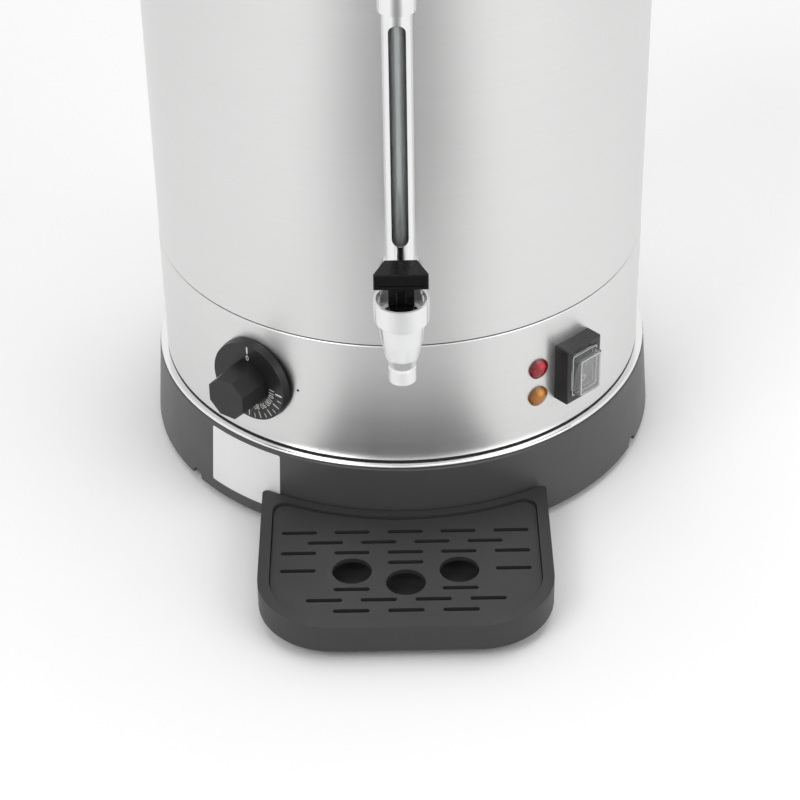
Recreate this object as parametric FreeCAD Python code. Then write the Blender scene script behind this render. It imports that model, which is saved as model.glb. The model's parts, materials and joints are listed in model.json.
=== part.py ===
import FreeCAD, Part
import math
import os

# Hot water urn, millimetres. Origin on the floor under the tank axis, +Z up, front along -Y.
# An azimuth is measured from the front, positive towards +X.

V = FreeCAD.Vector

# Fits and clearances
RUN_FIT = 0.05
PANEL_FIT = 0.2
PART_GAP = 0.6
SCREW_HOLE_FIT = 0.3

# Shells
SHELL_R = 160.0
SHEET_T = 1.0
SHELL_STEP = 0.3
FLANGE_IN_R = SHELL_R - 10.0
TANK_R = SHELL_R - 13.0
ROLL_R = SHELL_R + 1.8
ROLL_DROP = 5.0

# Base
FOOT_R = 12.0
FOOT_COUNT = 4
FOOT_PCD = 2.0 * (SHELL_R - 20.0)
FOOT_SCREW_R = 2.2
FOOT_SCREW_DEPTH = 5.0
BASE_LOW_Z = 5.0
BASE_TOP_Z = 57.0
BASE_LOW_R = SHELL_R + 9.0
BASE_TOP_R = SHELL_R + 5.2
BASE_WALL = 3.0
BASE_EDGE = 1.2
PLATE_Z = 12.0
PLATE_T = 1.2
PLATE_R = SHELL_R
NOTCH_R = 5.2
NOTCH_COUNT = 3
NOTCH_AZ = 65.5
BOSS_COUNT = 6
BOSS_CIRCLE_R = SHELL_R - 9.0
BOSS_R = 5.5
BOSS_SCREW_R = 1.9
BOSS_SCREW_LENGTH = 14.0
SCREW_HEAD_H = 2.4
SCREW_HEAD_RATIO = 2.0
SCREW_CROWN_RATIO = 1.2
RIB_T = 2.5
VENT_COUNT = 12
VENT_CIRCLE_R = SHELL_R - 65.0
VENT_LENGTH = 26.0
VENT_W = 4.0

# Trim flange, gaskets and control band
TRIM_T = 2.2
TRIM_R = SHELL_R + 4.7
TRIM_EDGE = 0.9
BAND_GASKET_T = 1.4
SEAM_Z = BASE_TOP_Z + 90.0
SEAM_GAP = 0.9
TANK_FLOOR_Z = SEAM_Z + 18.0
SHELL_TOP_Z = SEAM_Z + 305.0
GASKET_SET_IN = 0.9
GASKET_W = 6.0
BAND_EDGE_R = 0.9

# Dial and thermostat
DIAL_AZ = -35.6
DIAL_Z = BASE_TOP_Z + 48.9
DIAL_BACK_R = 28.2
DIAL_FACE_R = 27.4
DIAL_BACK = 0.8
DIAL_FACE = 6.5
DIAL_POCKET_R = 25.0
DIAL_POCKET_TOP = 3.6
GRIP_H = 23.0
GRIP_BACK_R = 15.7
GRIP_FACE_R = 14.8
GRIP_EDGE = 0.7
SHAFT_R = 3.0
SHAFT_BACK = 9.0
SHAFT_IN_GRIP = 18.0
SHAFT_FLAT = 1.8
BUSH_R = 5.0
BUSH_FRONT = 2.4
BUSH_NUT_R = 7.0
BUSH_NUT_T = 1.6
THERMOSTAT_W = 36.0
THERMOSTAT_H = 30.0
THERMOSTAT_D = 24.0
THERMOSTAT_FACE = 5.0
THERMOSTAT_COLLAR_R = 11.0
SPADE_W = 6.3
SPADE_T = 0.8
SPADE_L = 8.0

# Lamps
LAMP_AZ = 32.2
LAMP_HEATING_Z = BASE_TOP_Z + 55.3
LAMP_WARM_Z = BASE_TOP_Z + 34.4
LENS_R = 7.0
LENS_RIM = 1.0
LENS_DOME = 3.6
LAMP_SHANK_R = 5.2
LAMP_BODY_R = 6.4
LAMP_BODY_BACK = 27.0
LAMP_SHANK_BACK = 5.0
LAMP_NUT_R = 8.5

# Rocker switch
SWITCH_AZ = 42.4
SWITCH_Z = BASE_TOP_Z + 47.0
BEZEL_W = 30.0
BEZEL_H = 41.0
BEZEL_FACE = 10.4
BEZEL_EDGE = 1.4
COVER_RIM_W = 22.7
COVER_RIM_H = 30.7
COVER_RIM_T = 1.6
COVER_RIM_PROUD = 0.5
COVER_BOX_W = 19.0
COVER_BOX_H = 27.0
COVER_FACE = 16.4
COVER_WALL = 0.9
LIP_W = 19.0
LIP_H = 27.0
LIP_T = 2.6
SWITCH_BODY_W = 23.0
SWITCH_BODY_H = 31.0
SWITCH_BACK = 26.0
ROCKER_W = 14.6
ROCKER_H = 21.6
ROCKER_PIVOT = 2.0
ROCKER_TOP = 11.2
ROCKER_DIP = 1.0
ROCKER_FOOT = -3.0
ROCKER_FOOT_H = 10.0
ROCKER_BULGE = 2.0
ROCKER_PIN_R = 1.5
ROCKER_PIN_L = 2.2
ROCKER_REST = 9.0
ROCKER_POCKET_H = 25.0
ROCKER_POCKET_BACK = -7.0

# Tap
TAP_Y = -SHELL_R - 45.0
TAP_Z = TANK_FLOOR_Z + 34.0
SHANK_R = 9.0
SHANK_BORE_R = 4.5
SHANK_END_Y = 11.0 - TANK_R
FLANGE_R = 13.85
FLANGE_T = 2.6
TAP_GASKET_T = 1.8
TAP_GASKET_R = 13.2
BARREL_R = 10.5
CUP_TOP_Z = TAP_Z + 12.6
CUP_R = 16.4
CUP_IN_R = 14.9
CUP_LOW_Z = TAP_Z - 1.0
NECK_TOP_R = 13.9
NECK_TOP_Z = TAP_Z - 3.0
CONE_R = 12.35
CONE_Z = TAP_Z - 16.0
CONE_LOW_R = 9.95
CONE_LOW_Z = TAP_Z - 27.0
NECK_R = 7.6
NECK_Z = TAP_Z - 34.0
SPOUT_R = 8.25
SPOUT_TOP_Z = TAP_Z - 35.4
SPOUT_LOW_Z = TAP_Z - 44.0
SPOUT_BORE_R = 6.2
SEAT_Z = TAP_Z - 25.0
SEAT_HOLE_R = 4.6
CHAMBER_LOW_R = 8.0
CHAMBER_R = 10.8
CHAMBER_CONE_Z = TAP_Z - 9.0
INLET_R = 4.0
INLET_L = 18.0
BONNET_R = 12.4
BONNET_Z = TAP_Z - 2.5
BONNET_T = 3.0
BONNET_HUB_R = 5.2
BONNET_HUB_DROP = 4.0
TOWER_R = 6.9
TOWER_GAP = 0.3
RIB_COUNT = 10
RIB_W = 2.0
RIB_PROUD = 0.6
STEM_R = 2.5
STEM_HEAD_D = 6.0
STEM_HEAD_Z = TAP_Z + 10.5
PIN_Z = TAP_Z + 15.5
PIN_R = 1.5
COLLAR_R = 4.8
COLLAR_Z = TAP_Z - 18.0
COLLAR_T = 2.0
SEAL_R = 6.9
SEAL_BAND = 3.0
SPRING_R = 3.9
SPRING_WIRE_R = 0.5
SPRING_TURNS = 5.0
TANK_NUT_R = 14.0
TANK_NUT_T = 7.0
TANK_SEAL_T = 2.0
HUB_W = 15.0
HUB_D = 11.0
HUB_LOW_Z = TAP_Z + 9.4
PADDLE_FRONT_Y = TAP_Y - 7.0
PADDLE_REAR_Y = TAP_Y + 9.5
PADDLE_FRONT_W = 33.0
PADDLE_REAR_W = 19.0
PADDLE_LOW_Z = TAP_Z + 22.4
PADDLE_TOP_Z = TAP_Z + 32.6
PADDLE_REAR_LOW_Z = TAP_Z + 21.4
PADDLE_FRAME = 1.6
PADDLE_DISH = 0.5

# Gauge
GAUGE_Y = -SHELL_R - 12.0
BOSS_GAUGE_R = 10.4
BOSS_GAUGE_TOP = TAP_Z + 18.0
GUARD_R = 8.85
GUARD_T = 1.0
GUARD_TOP_Z = SHELL_TOP_Z - 54.0
GUARD_SINK = 6.0
SLOT_W = 10.0
SLOT_LOW_Z = TAP_Z + 32.0
SLOT_TOP_Z = GUARD_TOP_Z - 24.0
GLASS_R = 5.0
GLASS_WALL = 1.2
GLASS_LOW_Z = TAP_Z + 5.0
GLASS_TOP_Z = GUARD_TOP_Z - 7.0
SEAL_LOW_Z = TAP_Z + 6.0
SEAL_RING_R = 7.6
SEAL_TOP_Z = GUARD_TOP_Z - 15.0
SEAL_H = 6.0
CAP_LOW_Z = GUARD_TOP_Z - 4.5
CAP_WALL = 1.4
CAP_DOME = 3.0
CAP_VENT_R = 1.2
BRACKET_Z = GUARD_TOP_Z - 12.0
BRACKET_H = 11.0
BRACKET_RING_T = 2.2
BRACKET_ARM_R = 3.5
BRACKET_FOOT_R = 7.2
BRACKET_FOOT_T = 2.5
BRACKET_SCREW_R = 2.0

# Side handles
HANDLE_Z = SHELL_TOP_Z - 57.0
HANDLE_HALF_W = 56.0
HANDLE_H = 20.0
HANDLE_REACH = 41.0
HANDLE_GAP = 24.0
HANDLE_FOOT_W = 17.0
HANDLE_EDGE = 5.0
HANDLE_SCREW_X = 46.5
HANDLE_SCREW_R = 2.5
HANDLE_SCREW_IN = 5.0
HANDLE_HOLE_DEPTH = 13.0
HANDLE_RISE = 0.3
HANDLE_SHOULDER = (0.93, 0.72)
HANDLE_CROWN = (0.66, 0.94)
HANDLE_INNER_RISE = 0.45
HANDLE_INNER_SHOULDER = (0.92, 0.80)
HANDLE_INNER_CROWN = (0.72, 0.94)

# Lid
LID_PLUG_CLEARANCE = 0.8
LID_PLUG_DROP = 9.0
LID_RIM_R = SHELL_R - 1.5
LID_RIM_STEP = 3.5
LID_DOME_R = TANK_R - 1.0
LID_DOME_Z = SHELL_TOP_Z + 26.0
LID_VENT_R = 2.0
LID_VENT_Y = 105.0
FERRULE_R = 12.5
FERRULE_T = 1.5
KNOB_LOW_R = 10.0
KNOB_WAIST_R = 8.0
KNOB_R = 19.0
KNOB_WAIST_H = 9.0
KNOB_WIDE_H = 18.0
KNOB_H = 26.0
KNOB_SCREW_R = 2.5
KNOB_SCREW_IN = 15.0
KNOB_SEAT_DROP = 0.05

# Heating and wiring
HEATER_R = TANK_R - 42.0
HEATER_T = 6.0
ELEMENT_R = 4.2
ELEMENT_SINK = 1.2
MAIN_RING_R = HEATER_R - 20.0
WARM_RING_R = HEATER_R - 53.0
ELEMENT_OPEN_DEG = 26.0
ELEMENT_LEG = 14.0
ELEMENT_PIN_R = 1.8
ELEMENT_PIN_L = 9.0
CLAMP_W = 20.0
CLAMP_T = 3.0
STUD_R = 4.0
STUD_LOW = 12.0
STUD_NUT_R = 7.5
STUD_NUT_T = 6.5
BULB_R = 3.0
BULB_L = 56.0
CUTOUT_X = 62.0
CUTOUT_Y = 40.0
CUTOUT_W = 26.0
CUTOUT_D = 20.0
CUTOUT_H = 20.0
RESET_R = 3.0
RESET_EDGE = 0.6
RESET_LOW_Z = 8.6
RESET_FLANGE_R = 4.4
RESET_FLANGE_T = 1.5
RESET_STEM_R = 2.0
RESET_POCKET_H = 5.0
RESET_STEM_TOP = 12.0
BLOCK_Y = SHELL_R - 60.0
BLOCK_W = 48.0
BLOCK_D = 22.0
BLOCK_H = 17.0
BLOCK_WAYS = 3
GLAND_Z = BASE_TOP_Z + 31.0
GLAND_HEX_R = 12.0
GLAND_HEX_T = 5.0
GLAND_THREAD_R = 8.0
GLAND_THREAD_L = 12.0
GLAND_BODY_BORE_R = 4.6
GLAND_CAP_R = 10.5
GLAND_CAP_L = 15.0
GLAND_CAP_ROUND = 4.0
GLAND_BORE_R = 4.1
GLAND_NUT_T = 5.0

# Drip tray and grate
TRAY_HALF_W = 91.5
TRAY_FRONT_Y = -BASE_LOW_R - 113.0
TRAY_CORNER_R = 48.0
TRAY_BASE_GAP = 0.3
TRAY_LOW_Z = 7.5
TRAY_TOP_Z = 27.0
TRAY_FLOOR_T = 2.2
TRAY_WALL = 2.4
TRAY_EAR_R = 3.0
TRAY_LOW_EDGE = 1.5
TRAY_PIP_R = 5.0
TRAY_PIP_IN = 24.0
RIM_W = 7.2
RIM_REAR_W = 5.4
LEDGE_W = 2.8
GRATE_GAP = 0.35
GRATE_T = 3.0
GRATE_DROP = 2.0
GRATE_EAR_R = 8.0
SLOT_L = 22.3
SLOT_T = 3.3
SLOT_PITCH = 33.4
SLOT_ROW = 10.2
SLOT_FIRST_Y = TRAY_FRONT_Y + 94.6
HOLE_R = 12.35
HOLE_SIDE_X = 33.2
HOLE_SIDE_Y = TRAY_FRONT_Y + 56.1
HOLE_MID_Y = TRAY_FRONT_Y + 44.5
REST_POST_R = 3.0
REST_POST_X = 50.0
REST_POST_Y = TRAY_FRONT_Y + 68.0

SHELL_OUT_R = SHELL_R - SHELL_STEP
TRAY_REAR_R = BASE_LOW_R + TRAY_BASE_GAP
TRIM_TOP_Z = BASE_TOP_Z + TRIM_T
BAND_LOW_Z = TRIM_TOP_Z + BAND_GASKET_T
SHELL_LOW_Z = SEAM_Z + SEAM_GAP
PLATE_TOP_Z = PLATE_Z + PLATE_T
TANK_OUT_R = TANK_R + SHEET_T
TANK_UNDER_Z = TANK_FLOOR_Z - SHEET_T
TANK_TOP_Z = SHELL_TOP_Z + SHEET_T
HEATER_LOW_Z = TANK_UNDER_Z - HEATER_T
ELEMENT_Z = HEATER_LOW_Z - ELEMENT_SINK
CLAMP_TOP_Z = ELEMENT_Z - ELEMENT_R
GRATE_TOP_Z = TRAY_TOP_Z - GRATE_DROP
LEDGE_Z = GRATE_TOP_Z - GRATE_T
GRATE_INSET = RIM_W + GRATE_GAP
GRATE_REAR_R = TRAY_REAR_R + RIM_REAR_W + GRATE_GAP
MODEL_TOP_Z = SHELL_TOP_Z * 2.0


# Building blocks

def cylinder(radius, low, high, x=0.0, y=0.0):
    return Part.makeCylinder(radius, high - low, V(x, y, low))


def ring(outer, inner, low, high, x=0.0, y=0.0):
    return cylinder(outer, low, high, x, y).cut(cylinder(inner, low, high, x, y))


def block(width, depth, low, high, x=0.0, y=0.0):
    return Part.makeBox(width, depth, high - low, V(x - width / 2.0, y - depth / 2.0, low))


def outline(points):
    """Closed wire in the XZ plane. An entry of four numbers is an arc through its first pair."""
    edges = []
    start = points[0]
    closing = [] if points[-1][-2:] == points[0] else [points[0]]
    for entry in points[1:] + closing:
        a = V(start[-2], 0, start[-1])
        b = V(entry[-2], 0, entry[-1])
        if len(entry) == 4:
            edges.append(Part.Arc(a, V(entry[0], 0, entry[1]), b).toShape())
        else:
            edges.append(Part.makeLine(a, b))
        start = entry
    return Part.Wire(edges)


def cap_arc(radius, low, high):
    """Outline entry for a spherical cap, from (radius, low) to its crown on the axis."""
    rise = high - low
    sphere_r = (radius ** 2 + rise ** 2) / (2.0 * rise)
    half = 0.5 * math.asin(radius / sphere_r)
    return (sphere_r * math.sin(half), high - sphere_r * (1.0 - math.cos(half)), 0, high)


def spin(points, x=0.0, y=0.0):
    """Solid of revolution of a radius-height outline about a vertical axis."""
    solid = Part.Face(outline(points)).revolve(V(0, 0, 0), V(0, 0, 1), 360.0)
    solid.translate(V(x, y, 0))
    return solid


def slab(points, half_depth):
    """Outline in the XZ plane, extruded the same way to both sides along Y."""
    solid = Part.Face(outline(points)).extrude(V(0, 2.0 * half_depth, 0))
    solid.translate(V(0, -half_depth, 0))
    return solid


def prism(sides, radius, low, high):
    """Upright prism with flats that face along X, by its corner radius."""
    return Part.Face(polygon(sides, radius, low)).extrude(V(0, 0, high - low))


def polygon(sides, radius, height):
    half = math.pi / sides
    corners = [2.0 * half * i + half for i in range(sides + 1)]
    return Part.makePolygon([V(radius * math.cos(a), radius * math.sin(a), height) for a in corners])


def around(shape, count, start_deg=0.0):
    """Copies of a shape, evenly spaced about the tank axis."""
    copies = []
    for i in range(count):
        copy = shape.copy()
        copy.rotate(V(0, 0, 0), V(0, 0, 1), start_deg + 360.0 * i / count)
        copies.append(copy)
    return copies


def on_wall(shape, azimuth, height):
    """Move a shape whose +Z points out of the wall and whose +Y points up onto the band's surface."""
    a = math.radians(azimuth)
    matrix = FreeCAD.Matrix(
        math.cos(a), 0, math.sin(a), SHELL_R * math.sin(a),
        math.sin(a), 0, -math.cos(a), -SHELL_R * math.cos(a),
        0, 1, 0, height,
        0, 0, 0, 1)
    moved = shape.copy()
    moved.Placement = FreeCAD.Placement(matrix)
    return moved


def along_y(radius, start, end, height, x=0.0):
    """Cylinder along Y, in the front plane unless x says otherwise."""
    return Part.makeCylinder(radius, end - start, V(x, start, height), V(0, 1, 0))


def outside(shape, radius):
    return shape.cut(cylinder(radius, 0.0, MODEL_TOP_Z))


def inside(shape, radius):
    return shape.common(cylinder(radius, 0.0, MODEL_TOP_Z))


def rounded(shape, radius, keep):
    """Fillet the edges for which keep(edge) is true."""
    return shape.makeFillet(radius, [e for e in shape.Edges if keep(e)])


def edge_at(height, tolerance=0.01):
    """Test for edges that lie whole in the plane at this height."""
    def test(edge):
        box = edge.BoundBox
        return abs(box.ZMin - height) < tolerance and abs(box.ZMax - height) < tolerance
    return test


def upright(edge):
    box = edge.BoundBox
    return box.ZLength > 1.0 and box.XLength < 0.01 and box.YLength < 0.01


def pan_screw(radius, length):
    """Slotted pan-head screw with its head's seat at zero and its shank along +Z."""
    crown_r = radius * SCREW_CROWN_RATIO
    shoulder_r = radius * (SCREW_CROWN_RATIO + 3.0 * SCREW_HEAD_RATIO) / 4.0
    head = spin([
        (0, -SCREW_HEAD_H), (crown_r, -SCREW_HEAD_H),
        (shoulder_r, -SCREW_HEAD_H * 0.7, radius * SCREW_HEAD_RATIO, 0), (0, 0)])
    slot = block(2.0 * crown_r, radius * 0.4, -SCREW_HEAD_H, -SCREW_HEAD_H * 0.6)
    return head.cut(slot).fuse(cylinder(radius, 0.0, length)).removeSplitter()


# Base

def base_ring():
    web_z = BASE_TOP_Z - BASE_WALL
    skirt = spin([
        (BASE_LOW_R - BASE_WALL, BASE_LOW_Z), (BASE_LOW_R, BASE_LOW_Z),
        (BASE_TOP_R, BASE_TOP_Z - BASE_EDGE),
        (BASE_TOP_R - 0.3 * BASE_EDGE, BASE_TOP_Z - 0.3 * BASE_EDGE, BASE_TOP_R - BASE_EDGE, BASE_TOP_Z),
        (FLANGE_IN_R - BASE_WALL, BASE_TOP_Z), (FLANGE_IN_R - BASE_WALL, web_z),
        (BASE_TOP_R - BASE_WALL, web_z)])
    boss = cylinder(BOSS_R, PLATE_TOP_Z, web_z, 0, -BOSS_CIRCLE_R)
    rib = block(RIB_T, BASE_TOP_R - BASE_WALL - BOSS_CIRCLE_R, PLATE_TOP_Z + BASE_LOW_Z, web_z,
                0, -(BASE_TOP_R - BASE_WALL + BOSS_CIRCLE_R) / 2.0)
    pilot = cylinder(BOSS_SCREW_R, PLATE_TOP_Z, PLATE_TOP_Z + BOSS_SCREW_LENGTH, 0, -BOSS_CIRCLE_R)
    notch = along_y(NOTCH_R, -BASE_LOW_R - BASE_WALL, -BASE_LOW_R + 3.0 * BASE_WALL, BASE_LOW_Z)
    skirt = skirt.fuse(around(boss.fuse(rib), BOSS_COUNT))
    skirt = skirt.cut(around(pilot, BOSS_COUNT) + around(notch, NOTCH_COUNT, NOTCH_AZ))
    return skirt.removeSplitter()


def bottom_plate():
    plate = cylinder(PLATE_R, PLATE_Z, PLATE_TOP_Z)
    boss_hole = cylinder(BOSS_SCREW_R + SCREW_HOLE_FIT, PLATE_Z, PLATE_TOP_Z, 0, -BOSS_CIRCLE_R)
    vent = slot_cutter(0, -VENT_CIRCLE_R, VENT_LENGTH, VENT_W, PLATE_Z, PLATE_TOP_Z)
    reset_hole = cylinder(RESET_R + SCREW_HOLE_FIT, PLATE_Z, PLATE_TOP_Z, CUTOUT_X, CUTOUT_Y)
    cutters = around(boss_hole, BOSS_COUNT)
    cutters += around(vent, VENT_COUNT, 180.0 / VENT_COUNT)
    cutters.append(reset_hole)
    for x, y in foot_places():
        cutters.append(cylinder(FOOT_SCREW_R, PLATE_Z, PLATE_TOP_Z, x, y))
    return plate.cut(cutters)


def slot_cutter(x, y, length, width, low, high):
    """Slot along X with rounded ends."""
    half = (length - width) / 2.0
    body = block(2.0 * half, width, low, high, x, y)
    ends = [cylinder(width / 2.0, low, high, x + side * half, y) for side in (-1, 1)]
    return body.fuse(ends).removeSplitter()


def foot_places():
    places = []
    for i in range(FOOT_COUNT):
        a = 2.0 * math.pi * (i + 0.5) / FOOT_COUNT
        places.append((FOOT_PCD / 2.0 * math.cos(a), FOOT_PCD / 2.0 * math.sin(a)))
    return places


def feet():
    solids = []
    for x, y in foot_places():
        foot = cylinder(FOOT_R, 0.0, PLATE_Z, x, y)
        solids.append(foot.cut(cylinder(FOOT_SCREW_R, PLATE_Z - FOOT_SCREW_DEPTH, PLATE_Z, x, y)))
    return Part.makeCompound(solids)


def foot_screws():
    """Screws from inside the base, through its plate and into the feet."""
    solids = []
    for x, y in foot_places():
        screw = pan_screw(FOOT_SCREW_R, PLATE_T + FOOT_SCREW_DEPTH)
        screw.rotate(V(0, 0, 0), V(1, 0, 0), 180.0)
        screw.translate(V(x, y, PLATE_TOP_Z))
        solids.append(screw)
    return Part.makeCompound(solids)


def base_screws():
    screw = pan_screw(BOSS_SCREW_R, BOSS_SCREW_LENGTH)
    screw.translate(V(0, -BOSS_CIRCLE_R, PLATE_Z))
    return Part.makeCompound(around(screw, BOSS_COUNT))


# Shells

def trim_flange():
    middle = BASE_TOP_Z + TRIM_T / 2.0
    return spin([
        (FLANGE_IN_R, BASE_TOP_Z), (TRIM_R - TRIM_EDGE, BASE_TOP_Z),
        (TRIM_R, middle, TRIM_R - TRIM_EDGE, TRIM_TOP_Z), (FLANGE_IN_R, TRIM_TOP_Z)])


def band_gasket():
    outer = SHELL_R - GASKET_SET_IN
    return ring(outer, outer - GASKET_W, TRIM_TOP_Z, BAND_LOW_Z)


def seam_gasket():
    outer = SHELL_R - GASKET_SET_IN - SHELL_STEP
    return ring(outer, outer - GASKET_W, SEAM_Z, SHELL_LOW_Z)


def control_band():
    """Rolled band with a flange turned in at both ends and a softly rounded top edge."""
    corner = BAND_EDGE_R * (1.0 - math.sqrt(0.5))
    inner = SHELL_R - SHEET_T
    band = spin([
        (FLANGE_IN_R, BAND_LOW_Z), (SHELL_R, BAND_LOW_Z), (SHELL_R, SEAM_Z - BAND_EDGE_R),
        (SHELL_R - corner, SEAM_Z - corner, SHELL_R - BAND_EDGE_R, SEAM_Z),
        (FLANGE_IN_R, SEAM_Z), (FLANGE_IN_R, SEAM_Z - SHEET_T), (inner, SEAM_Z - SHEET_T),
        (inner, BAND_LOW_Z + SHEET_T), (FLANGE_IN_R, BAND_LOW_Z + SHEET_T)])
    reach = 3.0 * SHEET_T
    holes = [
        on_wall(cylinder(BUSH_R + PANEL_FIT, -reach, reach), DIAL_AZ, DIAL_Z),
        on_wall(cylinder(LAMP_SHANK_R + PANEL_FIT, -reach, reach), LAMP_AZ, LAMP_HEATING_Z),
        on_wall(cylinder(LAMP_SHANK_R + PANEL_FIT, -reach, reach), LAMP_AZ, LAMP_WARM_Z),
        on_wall(block(SWITCH_BODY_W + 2.0 * PANEL_FIT, SWITCH_BODY_H + 2.0 * PANEL_FIT, -reach, reach),
                SWITCH_AZ, SWITCH_Z),
        on_wall(cylinder(GLAND_THREAD_R + PANEL_FIT, -reach, reach), 180.0, GLAND_Z)]
    return band.cut(holes)


def outer_shell():
    inner = SHELL_OUT_R - SHEET_T
    shell = spin([
        (FLANGE_IN_R, SHELL_LOW_Z), (SHELL_OUT_R, SHELL_LOW_Z), (SHELL_OUT_R, SHELL_TOP_Z),
        (inner, SHELL_TOP_Z), (inner, SHELL_LOW_Z + SHEET_T), (FLANGE_IN_R, SHELL_LOW_Z + SHEET_T)])
    cutters = [along_y(SHANK_R + PANEL_FIT, -SHELL_R, -TANK_R, TAP_Z),
               along_y(BRACKET_SCREW_R + PANEL_FIT, -SHELL_R, -TANK_R, BRACKET_Z)]
    hole = cylinder(HANDLE_SCREW_R + PANEL_FIT, -HANDLE_HOLE_DEPTH, 0.0)
    for azimuth in (-90.0, 90.0):
        for side in (-1, 1):
            moved = hole.copy()
            moved.translate(V(side * HANDLE_SCREW_X, 0, 0))
            cutters.append(on_wall_group(moved, azimuth, HANDLE_Z))
    return shell.cut(cutters)


def on_wall_group(shape, azimuth, height):
    """As on_wall, for a shape that already has a place of its own."""
    return on_wall(Part.makeCompound([shape]), azimuth, height)


def inner_tank():
    """Welded tank: a wall with its flange rolled over the shell's top edge, and a flat floor set
    inside the wall with the heater's clamp stud."""
    roll_mid = ROLL_DROP / 2.0
    wall = spin([
        (TANK_R, TANK_UNDER_Z), (TANK_OUT_R, TANK_UNDER_Z), (TANK_OUT_R, SHELL_TOP_Z),
        (SHELL_OUT_R, SHELL_TOP_Z), (SHELL_OUT_R, SHELL_TOP_Z - ROLL_DROP),
        (ROLL_R, SHELL_TOP_Z - ROLL_DROP), (ROLL_R, SHELL_TOP_Z - roll_mid / 2.0),
        (ROLL_R - 0.5, TANK_TOP_Z - 0.5, ROLL_R - roll_mid, TANK_TOP_Z), (TANK_R, TANK_TOP_Z)])
    wall = wall.cut(along_y(SHANK_R + PANEL_FIT, -SHELL_R + ROLL_DROP, SHANK_END_Y, TAP_Z))
    floor = cylinder(TANK_R, TANK_UNDER_Z, TANK_FLOOR_Z)
    stud = cylinder(STUD_R, CLAMP_TOP_Z - CLAMP_T - STUD_LOW, TANK_UNDER_Z)
    return Part.makeCompound([wall, floor.fuse(stud)])


# Heating, controls inside the base

def heater_plate():
    plate = ring(HEATER_R, STUD_R + SCREW_HOLE_FIT, HEATER_LOW_Z, TANK_UNDER_Z)
    rings = (MAIN_RING_R, WARM_RING_R)
    grooves = [Part.makeTorus(radius, ELEMENT_R, V(0, 0, ELEMENT_Z)) for radius in rings]
    return plate.cut(grooves)


def element(ring_r):
    """Tubular ring, open towards the back, whose two ends turn down and carry terminal pins."""
    opening = ELEMENT_OPEN_DEG * MAIN_RING_R / ring_r
    tube = Part.makeTorus(ring_r, ELEMENT_R, V(0, 0, 0), V(0, 0, 1), 0.0, 360.0, 360.0 - opening)
    tube.rotate(V(0, 0, 0), V(0, 0, 1), 90.0 + opening / 2.0)
    ends = []
    for side in (-1, 1):
        a = math.radians(90.0 + side * opening / 2.0)
        x = ring_r * math.cos(a)
        y = ring_r * math.sin(a)
        ends.append(Part.makeSphere(ELEMENT_R, V(x, y, 0)))
        ends.append(cylinder(ELEMENT_R, -ELEMENT_LEG, 0.0, x, y))
        ends.append(cylinder(ELEMENT_PIN_R, -ELEMENT_LEG - ELEMENT_PIN_L, -ELEMENT_LEG, x, y))
    whole = tube.fuse(ends).removeSplitter()
    whole.translate(V(0, 0, ELEMENT_Z))
    return whole


def clamp_bar():
    low = CLAMP_TOP_Z - CLAMP_T
    half_length = MAIN_RING_R + CLAMP_W / 2.0
    bar = block(CLAMP_W, 2.0 * half_length, low, CLAMP_TOP_Z)
    bar = bar.cut(block(CLAMP_W, CLAMP_W, low, CLAMP_TOP_Z, 0, half_length))
    bar = rounded(bar, CLAMP_W / 4.0, upright)
    return bar.cut(cylinder(STUD_R + SCREW_HOLE_FIT, low, CLAMP_TOP_Z))


def clamp_nut():
    top = CLAMP_TOP_Z - CLAMP_T
    return prism(6, STUD_NUT_R, top - STUD_NUT_T, top).cut(cylinder(STUD_R, top - STUD_NUT_T, top))


def sensor_bulb():
    middle = (MAIN_RING_R + WARM_RING_R) / 2.0
    bulb = Part.makeCylinder(BULB_R, BULB_L, V(middle, -BULB_L / 2.0, HEATER_LOW_Z - BULB_R), V(0, 1, 0))
    return rounded(bulb, BULB_R * 0.6, lambda e: e.BoundBox.YLength < 0.01)


def boil_dry_cutout():
    top = PLATE_TOP_Z + CUTOUT_H
    body = block(CUTOUT_W, CUTOUT_D, PLATE_TOP_Z, top, CUTOUT_X, CUTOUT_Y)
    body = rounded(body, 2.0, upright)
    pocket_top = PLATE_TOP_Z + RESET_POCKET_H
    pocket = cylinder(RESET_FLANGE_R + PART_GAP, PLATE_TOP_Z, pocket_top, CUTOUT_X, CUTOUT_Y)
    guide = cylinder(RESET_STEM_R + RUN_FIT, PLATE_TOP_Z, pocket_top + RESET_STEM_TOP, CUTOUT_X, CUTOUT_Y)
    body = body.cut([pocket, guide])
    spades = []
    for side in (-1, 1):
        x = CUTOUT_X + side * CUTOUT_W / 4.0
        spades.append(block(SPADE_T, SPADE_W, top, top + SPADE_L, x, CUTOUT_Y))
    return body.fuse(spades)


def reset_button():
    flange_top = PLATE_TOP_Z + RESET_FLANGE_T
    return spin([
        (0, RESET_LOW_Z), (RESET_R - RESET_EDGE, RESET_LOW_Z), (RESET_R, RESET_LOW_Z + RESET_EDGE),
        (RESET_R, PLATE_TOP_Z),
        (RESET_FLANGE_R, PLATE_TOP_Z), (RESET_FLANGE_R, flange_top), (RESET_STEM_R, flange_top),
        (RESET_STEM_R, PLATE_TOP_Z + RESET_STEM_TOP), (0, PLATE_TOP_Z + RESET_STEM_TOP)],
        CUTOUT_X, CUTOUT_Y)


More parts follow.
